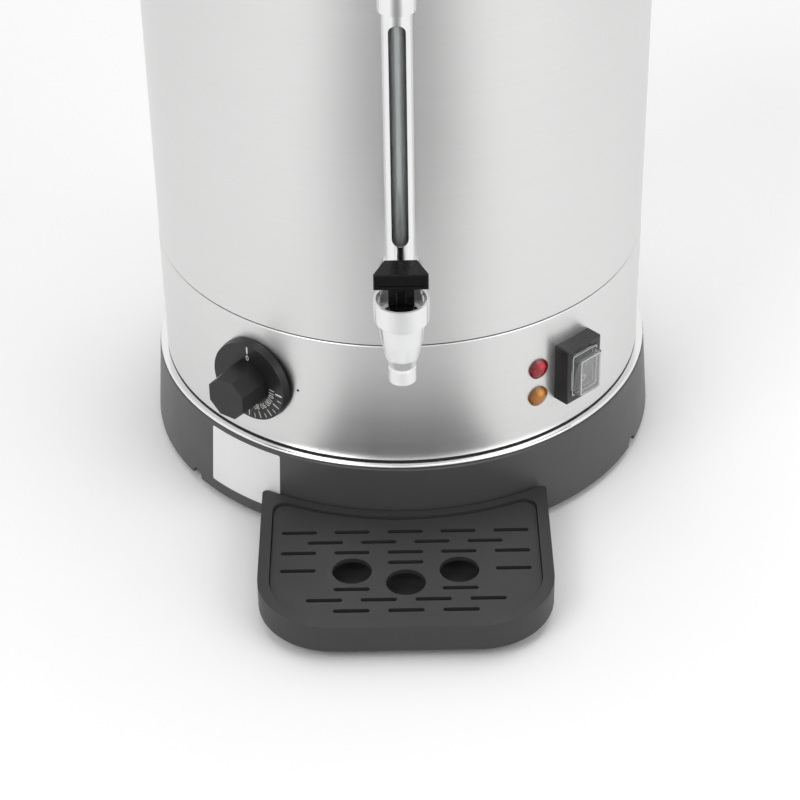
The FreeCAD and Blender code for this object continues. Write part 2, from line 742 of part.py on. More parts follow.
def terminal_block():
    """Ceramic block with one clamping well and one wire way for each pole."""
    top = PLATE_TOP_Z + BLOCK_H
    body = rounded(block(BLOCK_W, BLOCK_D, PLATE_TOP_Z, top, 0, BLOCK_Y), 2.0, upright)
    pitch = BLOCK_W / BLOCK_WAYS
    cutters = []
    for i in range(BLOCK_WAYS):
        x = pitch * (i - (BLOCK_WAYS - 1) / 2.0)
        cutters.append(cylinder(BLOCK_D / 7.0, top - BLOCK_H / 2.0, top, x, BLOCK_Y))
        cutters.append(along_y(BLOCK_D / 9.0, BLOCK_Y - BLOCK_D / 2.0, BLOCK_Y + BLOCK_D / 2.0,
                               top - BLOCK_H / 2.0, x))
    for side in (-1, 1):
        cutters.append(block(RIB_T, BLOCK_D, top - RIB_T, top, side * pitch / 2.0, BLOCK_Y))
    return body.cut(cutters)


def gland_body():
    flange = outside(on_wall(prism(6, GLAND_HEX_R, -RIB_T, GLAND_HEX_T), 180.0, GLAND_Z), SHELL_R)
    thread = on_wall(cylinder(GLAND_THREAD_R, -GLAND_THREAD_L, GLAND_HEX_T), 180.0, GLAND_Z)
    bore = on_wall(cylinder(GLAND_BODY_BORE_R, -GLAND_THREAD_L, GLAND_HEX_T), 180.0, GLAND_Z)
    return flange.fuse(thread).cut(bore).removeSplitter()


def gland_cap():
    top = GLAND_HEX_T + GLAND_CAP_L
    hexagon = prism(6, GLAND_CAP_R / math.cos(math.pi / 6.0), GLAND_HEX_T, top)
    dome = spin([
        (GLAND_BORE_R, GLAND_HEX_T), (GLAND_CAP_R * 1.1, GLAND_HEX_T),
        (GLAND_CAP_R * 1.1, top - GLAND_CAP_ROUND * 2.0),
        (GLAND_CAP_R * 0.95, top - GLAND_CAP_ROUND * 0.6, GLAND_CAP_R * 0.6, top), (GLAND_BORE_R, top)])
    return on_wall(hexagon.common(dome), 180.0, GLAND_Z)


def gland_nut():
    nut = prism(6, GLAND_HEX_R, -SHEET_T - GLAND_NUT_T, 0.0)
    nut = nut.cut(cylinder(GLAND_THREAD_R, -SHEET_T - GLAND_NUT_T, 0.0))
    return inside(on_wall(nut, 180.0, GLAND_Z), SHELL_R - SHEET_T)


# Thermostat and dial

def thermostat():
    back = THERMOSTAT_FACE + THERMOSTAT_D
    body = rounded(block(THERMOSTAT_W, THERMOSTAT_H, -back, -THERMOSTAT_FACE), 2.0, upright)
    collar = cylinder(THERMOSTAT_COLLAR_R, -THERMOSTAT_FACE, 0.0)
    spades = []
    for side in (-1, 1):
        spades.append(block(SPADE_W, SPADE_T, -back - SPADE_L, -back, side * THERMOSTAT_W / 4.0, 0))
    behind = inside(on_wall(body.fuse(collar).fuse(spades), DIAL_AZ, DIAL_Z), SHELL_R - SHEET_T)
    bush = on_wall(cylinder(BUSH_R, -THERMOSTAT_FACE, BUSH_FRONT), DIAL_AZ, DIAL_Z)
    bore = on_wall(cylinder(SHAFT_R + RUN_FIT, -SHAFT_BACK - PART_GAP, BUSH_FRONT), DIAL_AZ, DIAL_Z)
    return behind.fuse(bush).cut(bore).removeSplitter()


def bush_nut():
    nut = prism(6, BUSH_NUT_R, -SHEET_T, BUSH_NUT_T).cut(cylinder(BUSH_R, -SHEET_T, BUSH_NUT_T))
    return outside(on_wall(nut, DIAL_AZ, DIAL_Z), SHELL_R)


def dial_shaft():
    end = DIAL_POCKET_TOP + SHAFT_IN_GRIP
    shaft = cylinder(SHAFT_R, -SHAFT_BACK, end)
    flat = block(2.0 * SHAFT_R, SHAFT_R, DIAL_POCKET_TOP, end, 0, SHAFT_FLAT + SHAFT_R / 2.0)
    return on_wall(shaft.cut(flat), DIAL_AZ, DIAL_Z)


def dial_knob():
    """Marked disc with a hollow back and an eight-sided tapering grip on it."""
    disc = spin([
        (DIAL_POCKET_R, DIAL_BACK), (DIAL_BACK_R, DIAL_BACK), (DIAL_BACK_R, DIAL_BACK + 1.0),
        (DIAL_FACE_R, DIAL_FACE), (0, DIAL_FACE), (0, DIAL_POCKET_TOP), (DIAL_POCKET_R, DIAL_POCKET_TOP)])
    top = DIAL_FACE + GRIP_H
    grip = Part.makeLoft([polygon(8, GRIP_BACK_R, DIAL_FACE), polygon(8, GRIP_FACE_R, top)], True)
    grip = grip.makeChamfer(GRIP_EDGE, [e for e in grip.Edges if edge_at(top)(e)])
    knob = disc.fuse(grip)
    end = DIAL_POCKET_TOP + SHAFT_IN_GRIP
    bore = cylinder(SHAFT_R, DIAL_POCKET_TOP, end)
    flat = block(2.0 * SHAFT_R, SHAFT_R, DIAL_POCKET_TOP, end, 0, SHAFT_FLAT + SHAFT_R / 2.0)
    return on_wall(knob.cut(bore.cut(flat)), DIAL_AZ, DIAL_Z)


# Lamps

def lamp_lens(height):
    dome = spin([
        (0, -SHEET_T), (LENS_R, -SHEET_T), (LENS_R, LENS_RIM), cap_arc(LENS_R, LENS_RIM, LENS_DOME)])
    seat = outside(on_wall(dome, LAMP_AZ, height), SHELL_R)
    shank = on_wall(cylinder(LAMP_SHANK_R, -LAMP_SHANK_BACK, LENS_RIM), LAMP_AZ, height)
    return seat.fuse(shank).removeSplitter()


def lamp_bodies():
    pins = []
    for side in (-1, 1):
        pins.append(block(SPADE_T, SPADE_W / 2.0, -LAMP_BODY_BACK - SPADE_L, -LAMP_BODY_BACK,
                          side * SPADE_W / 2.0))
    body = cylinder(LAMP_BODY_R, -LAMP_BODY_BACK, -LAMP_SHANK_BACK).fuse(pins)
    return Part.makeCompound([on_wall(body, LAMP_AZ, z) for z in (LAMP_HEATING_Z, LAMP_WARM_Z)])


def lamp_nuts():
    nuts = []
    for z in (LAMP_HEATING_Z, LAMP_WARM_Z):
        nut = prism(6, LAMP_NUT_R, -LAMP_SHANK_BACK + SHEET_T, 0.0)
        nut = nut.cut(cylinder(LAMP_SHANK_R, -LAMP_SHANK_BACK, 0.0))
        nuts.append(inside(on_wall(nut, LAMP_AZ, z), SHELL_R - SHEET_T))
    return Part.makeCompound(nuts)


# Rocker switch

def switch_bezel():
    """Deep frame that follows the band's curve behind and holds the splash cover in its front."""
    frame = block(BEZEL_W, BEZEL_H, -SHEET_T, BEZEL_FACE)
    frame = rounded(frame, BEZEL_EDGE, lambda e: e.BoundBox.ZMax > 0.0)
    rim_back = BEZEL_FACE + COVER_RIM_PROUD - COVER_RIM_T
    cutters = [
        block(COVER_RIM_W + 2.0 * PANEL_FIT, COVER_RIM_H + 2.0 * PANEL_FIT, rim_back, BEZEL_FACE),
        block(LIP_W, LIP_H, rim_back - LIP_T, rim_back),
        block(SWITCH_BODY_W, SWITCH_BODY_H, -SHEET_T, rim_back - LIP_T)]
    return outside(on_wall(frame.cut(cutters), SWITCH_AZ, SWITCH_Z), SHELL_R)


def switch_body():
    top = BEZEL_FACE + COVER_RIM_PROUD - COVER_RIM_T - LIP_T
    body = block(SWITCH_BODY_W, SWITCH_BODY_H, -SWITCH_BACK, top)
    pocket = block(ROCKER_W + 2.0 * PART_GAP, ROCKER_POCKET_H, ROCKER_POCKET_BACK, top)
    reach = ROCKER_W / 2.0 + ROCKER_PIN_L + RUN_FIT
    bearing = Part.makeCylinder(ROCKER_PIN_R + RUN_FIT, 2.0 * reach, V(-reach, 0, ROCKER_PIVOT), V(1, 0, 0))
    body = body.cut([pocket, bearing])
    spades = []
    for side in (-1, 1):
        for row in (-1, 0, 1):
            y = row * SWITCH_BODY_H / 3.0
            spades.append(block(SPADE_T, SPADE_W, -SWITCH_BACK - SPADE_L, -SWITCH_BACK, side * SPADE_W, y))
    return on_wall(body.fuse(spades), SWITCH_AZ, SWITCH_Z)


def switch_rocker():
    """Rocker with a dished face, ends that follow its swing and two pivot pins."""
    half = ROCKER_H / 2.0
    foot = ROCKER_FOOT_H / 2.0
    bulge = (half + foot) / 2.0 + ROCKER_BULGE
    middle = (ROCKER_TOP + ROCKER_FOOT) / 2.0
    body = slab([
        (-half, ROCKER_TOP), (0, ROCKER_TOP - ROCKER_DIP, half, ROCKER_TOP),
        (bulge, middle, foot, ROCKER_FOOT), (-foot, ROCKER_FOOT),
        (-bulge, middle, -half, ROCKER_TOP)], ROCKER_W / 2.0)
    body.rotate(V(0, 0, 0), V(0, 0, 1), 90.0)
    pin = Part.makeCylinder(ROCKER_PIN_R, ROCKER_W + 2.0 * ROCKER_PIN_L,
                            V(-ROCKER_W / 2.0 - ROCKER_PIN_L, 0, ROCKER_PIVOT), V(1, 0, 0))
    rocker = body.fuse(pin).removeSplitter()
    rocker.rotate(V(0, 0, ROCKER_PIVOT), V(1, 0, 0), ROCKER_REST)
    return on_wall(Part.makeCompound([rocker]), SWITCH_AZ, SWITCH_Z).Solids[0]


def switch_cover():
    """Clear flexible cover: a flat rim and a raised box with thin walls over the rocker."""
    rim_back = BEZEL_FACE + COVER_RIM_PROUD - COVER_RIM_T
    rim = block(COVER_RIM_W, COVER_RIM_H, rim_back, BEZEL_FACE + COVER_RIM_PROUD)
    box = block(COVER_BOX_W, COVER_BOX_H, rim_back, COVER_FACE)
    whole = rounded(rim.fuse(box), COVER_WALL, lambda e: edge_at(COVER_FACE)(e))
    hollow = block(COVER_BOX_W - 2.0 * COVER_WALL, COVER_BOX_H - 2.0 * COVER_WALL,
                   rim_back, COVER_FACE - COVER_WALL)
    return on_wall(whole.cut(hollow), SWITCH_AZ, SWITCH_Z)


# Tap

def tap_body():
    """Chrome tap: vertical valve cup with a spout, a barrel with a shank, and the gauge socket."""
    cup = spin([
        (SPOUT_BORE_R, SPOUT_LOW_Z), (SPOUT_R, SPOUT_LOW_Z), (SPOUT_R, SPOUT_TOP_Z),
        (NECK_R, NECK_Z), (CONE_LOW_R, CONE_LOW_Z), (CONE_R, CONE_Z), (NECK_TOP_R, NECK_TOP_Z - 1.0),
        (NECK_TOP_R, NECK_TOP_Z), (CUP_R, CUP_LOW_Z), (CUP_R, CUP_TOP_Z),
        (CUP_IN_R, CUP_TOP_Z), (SPOUT_BORE_R, CUP_TOP_Z)], 0, TAP_Y)
    flange_front = -SHELL_OUT_R - TAP_GASKET_T - FLANGE_T
    barrel = along_y(BARREL_R, TAP_Y, flange_front, TAP_Z)
    flange = along_y(FLANGE_R, flange_front, flange_front + FLANGE_T, TAP_Z)
    flange = rounded(flange, FLANGE_T * 0.4, lambda e: e.BoundBox.YMax < flange_front + 0.01)
    shank = along_y(SHANK_R, flange_front, SHANK_END_Y, TAP_Z)
    socket = cylinder(BOSS_GAUGE_R, TAP_Z, BOSS_GAUGE_TOP, 0, GAUGE_Y)
    body = cup.fuse([barrel, flange, shank, socket])
    chamber = spin([
        (0, SPOUT_LOW_Z), (SPOUT_BORE_R, SPOUT_LOW_Z), (SPOUT_BORE_R, CONE_LOW_Z - 2.0),
        (SEAT_HOLE_R, CONE_LOW_Z - 1.0), (SEAT_HOLE_R, SEAT_Z), (CHAMBER_LOW_R, SEAT_Z),
        (CHAMBER_LOW_R, SEAT_Z + SEAL_BAND), (CHAMBER_R, CHAMBER_CONE_Z), (CHAMBER_R, BONNET_Z),
        (BONNET_R, BONNET_Z), (BONNET_R, BONNET_Z + BONNET_T), (CUP_IN_R, BONNET_Z + BONNET_T + 0.5),
        (CUP_IN_R, CUP_TOP_Z), (0, CUP_TOP_Z)], 0, TAP_Y)
    bore_end_y = TAP_Y + CUP_R + INLET_R / 2.0
    inlet = Part.makeCylinder(INLET_R, INLET_L, V(0, bore_end_y, TAP_Z), V(0, -1, -1))
    cutters = [
        chamber,
        inlet,
        along_y(SHANK_BORE_R, bore_end_y, SHANK_END_Y, TAP_Z),
        cylinder(GLASS_R - GLASS_WALL, TAP_Z, GLASS_LOW_Z, 0, GAUGE_Y),
        cylinder(SEAL_RING_R, GLASS_LOW_Z, BOSS_GAUGE_TOP, 0, GAUGE_Y),
        cylinder(GUARD_R, BOSS_GAUGE_TOP - GUARD_SINK, BOSS_GAUGE_TOP, 0, GAUGE_Y)]
    return body.cut(cutters).removeSplitter()


def tap_gasket():
    front = -SHELL_OUT_R - TAP_GASKET_T
    washer = along_y(TAP_GASKET_R, front, front + 2.0 * TAP_GASKET_T, TAP_Z)
    washer = washer.cut(along_y(SHANK_R, front, front + 2.0 * TAP_GASKET_T, TAP_Z))
    return outside(washer, SHELL_OUT_R)


def tank_seal():
    back = -TANK_R + TANK_SEAL_T
    seal = along_y(TANK_NUT_R, -TANK_R, back, TAP_Z).cut(along_y(SHANK_R, -TANK_R, back, TAP_Z))
    return inside(seal, TANK_R)


def tank_nut():
    front = -TANK_R + TANK_SEAL_T
    nut = prism(6, TANK_NUT_R, 0.0, TANK_NUT_T).cut(cylinder(SHANK_R, 0.0, TANK_NUT_T))
    nut.rotate(V(0, 0, 0), V(1, 0, 0), -90.0)
    nut.translate(V(0, front, TAP_Z))
    return nut


def tap_bonnet():
    """Black bonnet: disc seated deep in the cup, guide hub below it and a ribbed tower above."""
    low = BONNET_Z - BONNET_HUB_DROP
    disc_top = BONNET_Z + BONNET_T
    tower_top = HUB_LOW_Z - TOWER_GAP
    disc = cylinder(BONNET_R, BONNET_Z, disc_top, 0, TAP_Y)
    hub = cylinder(BONNET_HUB_R, low, BONNET_Z, 0, TAP_Y)
    tower = cylinder(TOWER_R, disc_top, tower_top, 0, TAP_Y)
    ribs = []
    for i in range(RIB_COUNT):
        rib = block(RIB_W, 2.0 * RIB_PROUD, disc_top, tower_top - RIB_PROUD, 0, TAP_Y - TOWER_R)
        rib.rotate(V(0, TAP_Y, 0), V(0, 0, 1), 360.0 * i / RIB_COUNT)
        ribs.append(rib)
    bonnet = disc.fuse([hub, tower] + ribs)
    return bonnet.cut(cylinder(STEM_R + RUN_FIT, low, tower_top, 0, TAP_Y))


def tap_stem():
    """Stem with a collar for the spring and a flat head with the lever pin's eye."""
    rod = cylinder(STEM_R, SEAT_Z + SEAL_BAND, STEM_HEAD_Z, 0, TAP_Y)
    collar = cylinder(COLLAR_R, COLLAR_Z, COLLAR_Z + COLLAR_T, 0, TAP_Y)
    head = block(2.0 * STEM_R, STEM_HEAD_D, STEM_HEAD_Z, PIN_Z + STEM_HEAD_D / 2.0, 0, TAP_Y)
    stem = rod.fuse([collar, head])
    eye = Part.makeCylinder(PIN_R, 2.0 * STEM_R, V(-STEM_R, TAP_Y, PIN_Z), V(1, 0, 0))
    return stem.cut(eye)


def tap_seal():
    """Soft seat cup pushed over the stem's lower end."""
    cup = spin([
        (0, SEAT_Z), (SEAL_R, SEAT_Z), (SEAL_R, SEAT_Z + SEAL_BAND), (COLLAR_R, COLLAR_Z - SEAL_BAND),
        (COLLAR_R, COLLAR_Z), (0, COLLAR_Z)], 0, TAP_Y)
    return cup.cut(cylinder(STEM_R, SEAT_Z + SEAL_BAND, COLLAR_Z, 0, TAP_Y))


def tap_spring():
    low = COLLAR_Z + COLLAR_T + SPRING_WIRE_R
    high = BONNET_Z - BONNET_HUB_DROP - SPRING_WIRE_R
    height = high - low
    path = Part.makeHelix(height / SPRING_TURNS, height, SPRING_R)
    section = Part.Wire(Part.makeCircle(SPRING_WIRE_R, V(SPRING_R, 0, 0), V(0, 1, 0)))
    wire = Part.Wire(path).makePipeShell([section], True, True)
    wire.translate(V(0, TAP_Y, low))
    return wire


def lever_pin():
    return Part.makeCylinder(PIN_R, HUB_W, V(-HUB_W / 2.0, TAP_Y, PIN_Z), V(1, 0, 0))


def tap_lever():
    """Lever: a forked hub on the stem's pin and a wide paddle with a raised frame on its front."""
    front = rectangle_at(PADDLE_FRONT_Y, PADDLE_FRONT_W, PADDLE_LOW_Z, PADDLE_TOP_Z)
    rear = rectangle_at(PADDLE_REAR_Y, PADDLE_REAR_W, PADDLE_REAR_LOW_Z, PADDLE_TOP_Z)
    paddle = Part.makeLoft([front, rear], True)
    paddle = rounded(paddle, PADDLE_FRAME * 0.6, lambda e: e.BoundBox.YMax < PADDLE_FRONT_Y + 0.01)
    dish = Part.makeBox(PADDLE_FRONT_W - 4.0 * PADDLE_FRAME, PADDLE_DISH,
                        PADDLE_TOP_Z - PADDLE_LOW_Z - 3.0 * PADDLE_FRAME,
                        V(-PADDLE_FRONT_W / 2.0 + 2.0 * PADDLE_FRAME, PADDLE_FRONT_Y,
                          PADDLE_LOW_Z + 1.5 * PADDLE_FRAME))
    hub = block(HUB_W, HUB_D, HUB_LOW_Z, PADDLE_LOW_Z + PADDLE_FRAME, 0, TAP_Y)
    hub = rounded(hub, HUB_D * 0.28, lambda e: edge_at(HUB_LOW_Z)(e) and e.BoundBox.XLength > 1.0)
    head_room = STEM_HEAD_D / math.sqrt(2.0) + PART_GAP
    fork = block(2.0 * (STEM_R + PANEL_FIT), HUB_D, HUB_LOW_Z, PIN_Z + head_room, 0, TAP_Y)
    eye = Part.makeCylinder(PIN_R + RUN_FIT, HUB_W, V(-HUB_W / 2.0, TAP_Y, PIN_Z), V(1, 0, 0))
    return paddle.cut(dish).fuse(hub).cut([fork, eye]).removeSplitter()


def rectangle_at(y, width, low, high):
    half = width / 2.0
    corners = [(-half, low), (half, low), (half, high), (-half, high), (-half, low)]
    return Part.makePolygon([V(x, y, z) for x, z in corners])


# Gauge

def gauge_glass():
    return ring(GLASS_R, GLASS_R - GLASS_WALL, GLASS_LOW_Z, GLASS_TOP_Z, 0, GAUGE_Y)


def gauge_seals():
    lower = ring(SEAL_RING_R, GLASS_R, SEAL_LOW_Z, SEAL_LOW_Z + SEAL_H, 0, GAUGE_Y)
    upper = ring(GUARD_R - GUARD_T, GLASS_R, SEAL_TOP_Z, SEAL_TOP_Z + SEAL_H, 0, GAUGE_Y)
    return Part.makeCompound([lower, upper])


def gauge_guard():
    """Tube with a long front slot whose ends are half round."""
    tube = ring(GUARD_R, GUARD_R - GUARD_T, BOSS_GAUGE_TOP - GUARD_SINK, GUARD_TOP_Z, 0, GAUGE_Y)
    half = SLOT_W / 2.0
    cutters = [Part.makeBox(SLOT_W, GUARD_R, SLOT_TOP_Z - SLOT_LOW_Z - SLOT_W,
                            V(-half, GAUGE_Y - GUARD_R, SLOT_LOW_Z + half))]
    for z in (SLOT_LOW_Z + half, SLOT_TOP_Z - half):
        cutters.append(along_y(half, GAUGE_Y - GUARD_R, GAUGE_Y, z))
    return tube.cut(cutters)


def guard_cap():
    outer = GUARD_R + CAP_WALL
    dome = spin([
        (GUARD_R, CAP_LOW_Z), (outer, CAP_LOW_Z), (outer, GUARD_TOP_Z),
        cap_arc(outer, GUARD_TOP_Z, GUARD_TOP_Z + CAP_DOME), (0, GUARD_TOP_Z),
        (GUARD_R, GUARD_TOP_Z)], 0, GAUGE_Y)
    return dome.cut(cylinder(CAP_VENT_R, GUARD_TOP_Z, GUARD_TOP_Z + 2.0 * CAP_DOME, 0, GAUGE_Y))


def guard_bracket():
    """Collar round the guard with a short arm and a foot that follows the shell."""
    low = BRACKET_Z - BRACKET_H / 2.0
    collar = cylinder(GUARD_R + BRACKET_RING_T, low, low + BRACKET_H, 0, GAUGE_Y)
    arm = along_y(BRACKET_ARM_R, GAUGE_Y, -SHELL_OUT_R, BRACKET_Z)
    foot = along_y(BRACKET_FOOT_R, -SHELL_OUT_R - BRACKET_FOOT_T, -SHELL_OUT_R + BRACKET_FOOT_T, BRACKET_Z)
    whole = outside(collar.fuse([arm, foot]), SHELL_OUT_R)
    bore = cylinder(GUARD_R, low, low + BRACKET_H, 0, GAUGE_Y)
    screw = along_y(BRACKET_SCREW_R, GAUGE_Y, -SHELL_OUT_R, BRACKET_Z)
    return whole.cut([bore, screw]).removeSplitter()


def guard_screw():
    seat = math.sqrt((SHELL_OUT_R - SHEET_T) ** 2 - (BRACKET_SCREW_R * SCREW_HEAD_RATIO) ** 2)
    screw = pan_screw(BRACKET_SCREW_R, -GAUGE_Y - GUARD_R - seat)
    screw.rotate(V(0, 0, 0), V(1, 0, 0), 90.0)
    screw.translate(V(0, -seat, BRACKET_Z))
    return screw


# Handles

def bow(half, reach, rise, shoulder, crown):
    """Outline entries of a bowed bar from -half to half: two shoulders and a crown between them."""
    shoulder_x, shoulder_z = half * shoulder[0], reach * shoulder[1]
    crown_x, crown_z = half * crown[0], reach * crown[1]
    return [
        (-half, reach * rise), (-shoulder_x, shoulder_z, -crown_x, crown_z),
        (0, reach, crown_x, crown_z), (shoulder_x, shoulder_z, half, reach * rise)]


def side_handle(azimuth):
    """Moulded loop handle: two feet on the shell and a bowed grip, round on all its long edges."""
    half = HANDLE_HALF_W
    inner = half - HANDLE_FOOT_W
    sink = -HANDLE_GAP
    outer_bow = bow(half, HANDLE_REACH, HANDLE_RISE, HANDLE_SHOULDER, HANDLE_CROWN)
    inner_bow = bow(-inner, HANDLE_GAP, HANDLE_INNER_RISE, HANDLE_INNER_SHOULDER, HANDLE_INNER_CROWN)
    loop = slab(
        [(-half, sink)] + outer_bow + [(half, sink), (inner, sink)] + inner_bow + [(-inner, sink)],
        HANDLE_H / 2.0)
    face = HANDLE_H / 2.0
    loop = rounded(loop, HANDLE_EDGE, lambda e: e.BoundBox.YLength < 0.01
                   and e.BoundBox.ZMax > sink + 0.01 and abs(abs(e.BoundBox.YMax) - face) < 0.01)
    handle = outside(on_wall(loop, azimuth, HANDLE_Z), SHELL_OUT_R)
    bores = []
    for side in (-1, 1):
        bore = cylinder(HANDLE_SCREW_R, sink, HANDLE_SCREW_IN, side * HANDLE_SCREW_X, 0)
        bores.append(on_wall_group(bore, azimuth, HANDLE_Z))
    return handle.cut(bores)


def handle_screws():
    inner = SHELL_OUT_R - SHEET_T
    seat = math.sqrt(inner ** 2 - (HANDLE_SCREW_X - 2.0 * HANDLE_SCREW_R) ** 2) - SHELL_R
    solids = []
    for azimuth in (-90.0, 90.0):
        for side in (-1, 1):
            low = seat - 2.0 * SCREW_HEAD_H
            head = cylinder(HANDLE_SCREW_R * SCREW_HEAD_RATIO, low, seat, side * HANDLE_SCREW_X, 0)
            head = inside(on_wall_group(head, azimuth, HANDLE_Z), inner)
            shank = cylinder(HANDLE_SCREW_R, low, HANDLE_SCREW_IN, side * HANDLE_SCREW_X, 0)
            solids.append(head.fuse(on_wall_group(shank, azimuth, HANDLE_Z)).removeSplitter())
    return Part.makeCompound(solids)


# Lid

def lid():
    """Pressed lid: plug into the tank's mouth, flat rim on its flange, step and shallow dome."""
    plug = TANK_R - LID_PLUG_CLEARANCE
    low = TANK_TOP_Z - LID_PLUG_DROP
    rim_top = TANK_TOP_Z + SHEET_T
    step = rim_top + LID_RIM_STEP
    inner_cap = cap_arc(plug - SHEET_T, step - SHEET_T, LID_DOME_Z - SHEET_T)
    body = spin([
        (plug - SHEET_T, low), (plug, low), (plug, TANK_TOP_Z),
        (LID_RIM_R, TANK_TOP_Z), (LID_RIM_R, rim_top),
        (LID_DOME_R + LID_RIM_STEP, rim_top), (LID_DOME_R, step),
        cap_arc(LID_DOME_R, step, LID_DOME_Z), (0, LID_DOME_Z - SHEET_T),
        inner_cap[:2] + (plug - SHEET_T, step - SHEET_T)])
    cutters = [cylinder(LID_VENT_R, TANK_TOP_Z, LID_DOME_Z, 0, LID_VENT_Y),
               cylinder(KNOB_SCREW_R + SCREW_HOLE_FIT, TANK_TOP_Z, LID_DOME_Z)]
    return body.cut(cutters)


def knob_ferrule():
    low = LID_DOME_Z
    return ring(FERRULE_R, KNOB_SCREW_R, low, low + FERRULE_T)


def lid_knob():
    low = LID_DOME_Z + FERRULE_T
    waist = low + KNOB_WAIST_H
    knob = spin([
        (0, low), (KNOB_LOW_R, low),
        (KNOB_WAIST_R, low + KNOB_WAIST_H / 2.0, KNOB_WAIST_R * 1.15, waist),
        (KNOB_R * 0.8, low + KNOB_WAIST_H * 1.3, KNOB_R, low + KNOB_WIDE_H),
        cap_arc(KNOB_R, low + KNOB_WIDE_H, low + KNOB_H)])
    return knob.cut(cylinder(KNOB_SCREW_R, low, low + KNOB_SCREW_IN))


def knob_screw():
    screw = pan_screw(KNOB_SCREW_R, SHEET_T + KNOB_SEAT_DROP + FERRULE_T + KNOB_SCREW_IN)
    screw.translate(V(0, 0, LID_DOME_Z - SHEET_T - KNOB_SEAT_DROP))
    return screw


# Drip tray and grate

def tray_prism(inset, rear_r, low, high, ear_r):
    """Tray plan: round front corners, straight sides, back edge concentric with the tank."""
    w = TRAY_HALF_W - inset
    front = TRAY_FRONT_Y + inset
    r = TRAY_CORNER_R - inset
    rear = -math.sqrt(rear_r ** 2 - w ** 2)
    corner = r * (1.0 - math.sqrt(0.5))
    left_side, left_front = V(-w, front + r, low), V(-w + r, front, low)
    right_side, right_front = V(w, front + r, low), V(w - r, front, low)
    edges = [
        Part.makeLine(V(-w, rear, low), left_side),
        Part.Arc(left_side, V(-w + corner, front + corner, low), left_front).toShape(),
        Part.makeLine(left_front, right_front),
        Part.Arc(right_front, V(w - corner, front + corner, low), right_side).toShape(),
        Part.makeLine(right_side, V(w, rear, low)),
        Part.Arc(V(w, rear, low), V(0, -rear_r, low), V(-w, rear, low)).toShape()]
    solid = Part.Face(Part.Wire(edges)).extrude(V(0, 0, high - low))
    return rounded(solid, ear_r, lambda e: upright(e) and abs(e.BoundBox.YMax - rear) < 0.01)


def drip_tray():
    """Moulded tray: hollow rim, basin with rest posts, ledge for the grate, small feet."""
    wall_low = tray_prism(0.0, TRAY_REAR_R, TRAY_LOW_Z, TRAY_TOP_Z, TRAY_EAR_R)
    wall_low = rounded(wall_low, TRAY_LOW_EDGE, edge_at(TRAY_LOW_Z))
    basin_inset = RIM_W + LEDGE_W
    basin_rear = TRAY_REAR_R + RIM_REAR_W + LEDGE_W
    floor_z = TRAY_LOW_Z + TRAY_FLOOR_T
    under_top = LEDGE_Z - TRAY_WALL
    recess = tray_prism(RIM_W, TRAY_REAR_R + RIM_REAR_W, LEDGE_Z, TRAY_TOP_Z, GRATE_EAR_R)
    basin = tray_prism(basin_inset, basin_rear, floor_z, LEDGE_Z, GRATE_EAR_R)
    hollow_out = tray_prism(TRAY_WALL, TRAY_REAR_R + TRAY_WALL, TRAY_LOW_Z, under_top, TRAY_EAR_R)
    hollow_in = tray_prism(basin_inset - TRAY_WALL, basin_rear - TRAY_WALL, TRAY_LOW_Z, under_top,
                           GRATE_EAR_R)
    tray = wall_low.cut([recess, basin, hollow_out.cut(hollow_in)])
    extras = []
    for x, y in tray_feet():
        extras.append(cylinder(TRAY_PIP_R, 0.0, TRAY_LOW_Z, x, y))
    for side in (-1, 1):
        extras.append(cylinder(REST_POST_R, floor_z, LEDGE_Z, side * REST_POST_X, REST_POST_Y))
    return tray.fuse(extras).removeSplitter()


def tray_feet():
    x = TRAY_HALF_W - TRAY_PIP_IN
    rows = (TRAY_FRONT_Y + TRAY_PIP_IN, -TRAY_REAR_R - TRAY_PIP_IN / 6.0)
    return [(side * x, y) for side in (-1, 1) for y in rows]


def slot_places():
    """Centres of the grate's slots, row by row from the back, counted in half pitches and rows."""
    rows = [
        (0, (-4, -2, 0, 2, 4)), (1, (-3, -1, 1, 3)), (2, (-4, -2, 0, 2, 4)), (3, (0,)),
        (3.7, (-4, 4)), (5.5, (-2, 2)), (6.5, (-3, -1, 1, 3)), (7.5, (-2, 0, 2))]
    places = []
    for row, columns in rows:
        for column in columns:
            places.append((column * SLOT_PITCH / 2.0, SLOT_FIRST_Y - row * SLOT_ROW))
    return places


def drip_grate():
    """Lift-out grate: plate with slots and three splash holes and a short skirt below its edge."""
    plate = tray_prism(GRATE_INSET, GRATE_REAR_R, LEDGE_Z, GRATE_TOP_Z, GRATE_EAR_R)
    plate = rounded(plate, GRATE_GAP, edge_at(GRATE_TOP_Z))
    cutters = [slot_cutter(x, y, SLOT_L, SLOT_T, LEDGE_Z, GRATE_TOP_Z) for x, y in slot_places()]
    for x, y in ((-HOLE_SIDE_X, HOLE_SIDE_Y), (0.0, HOLE_MID_Y), (HOLE_SIDE_X, HOLE_SIDE_Y)):
        cutters.append(cylinder(HOLE_R, LEDGE_Z, GRATE_TOP_Z, x, y))
    return plate.cut(cutters)


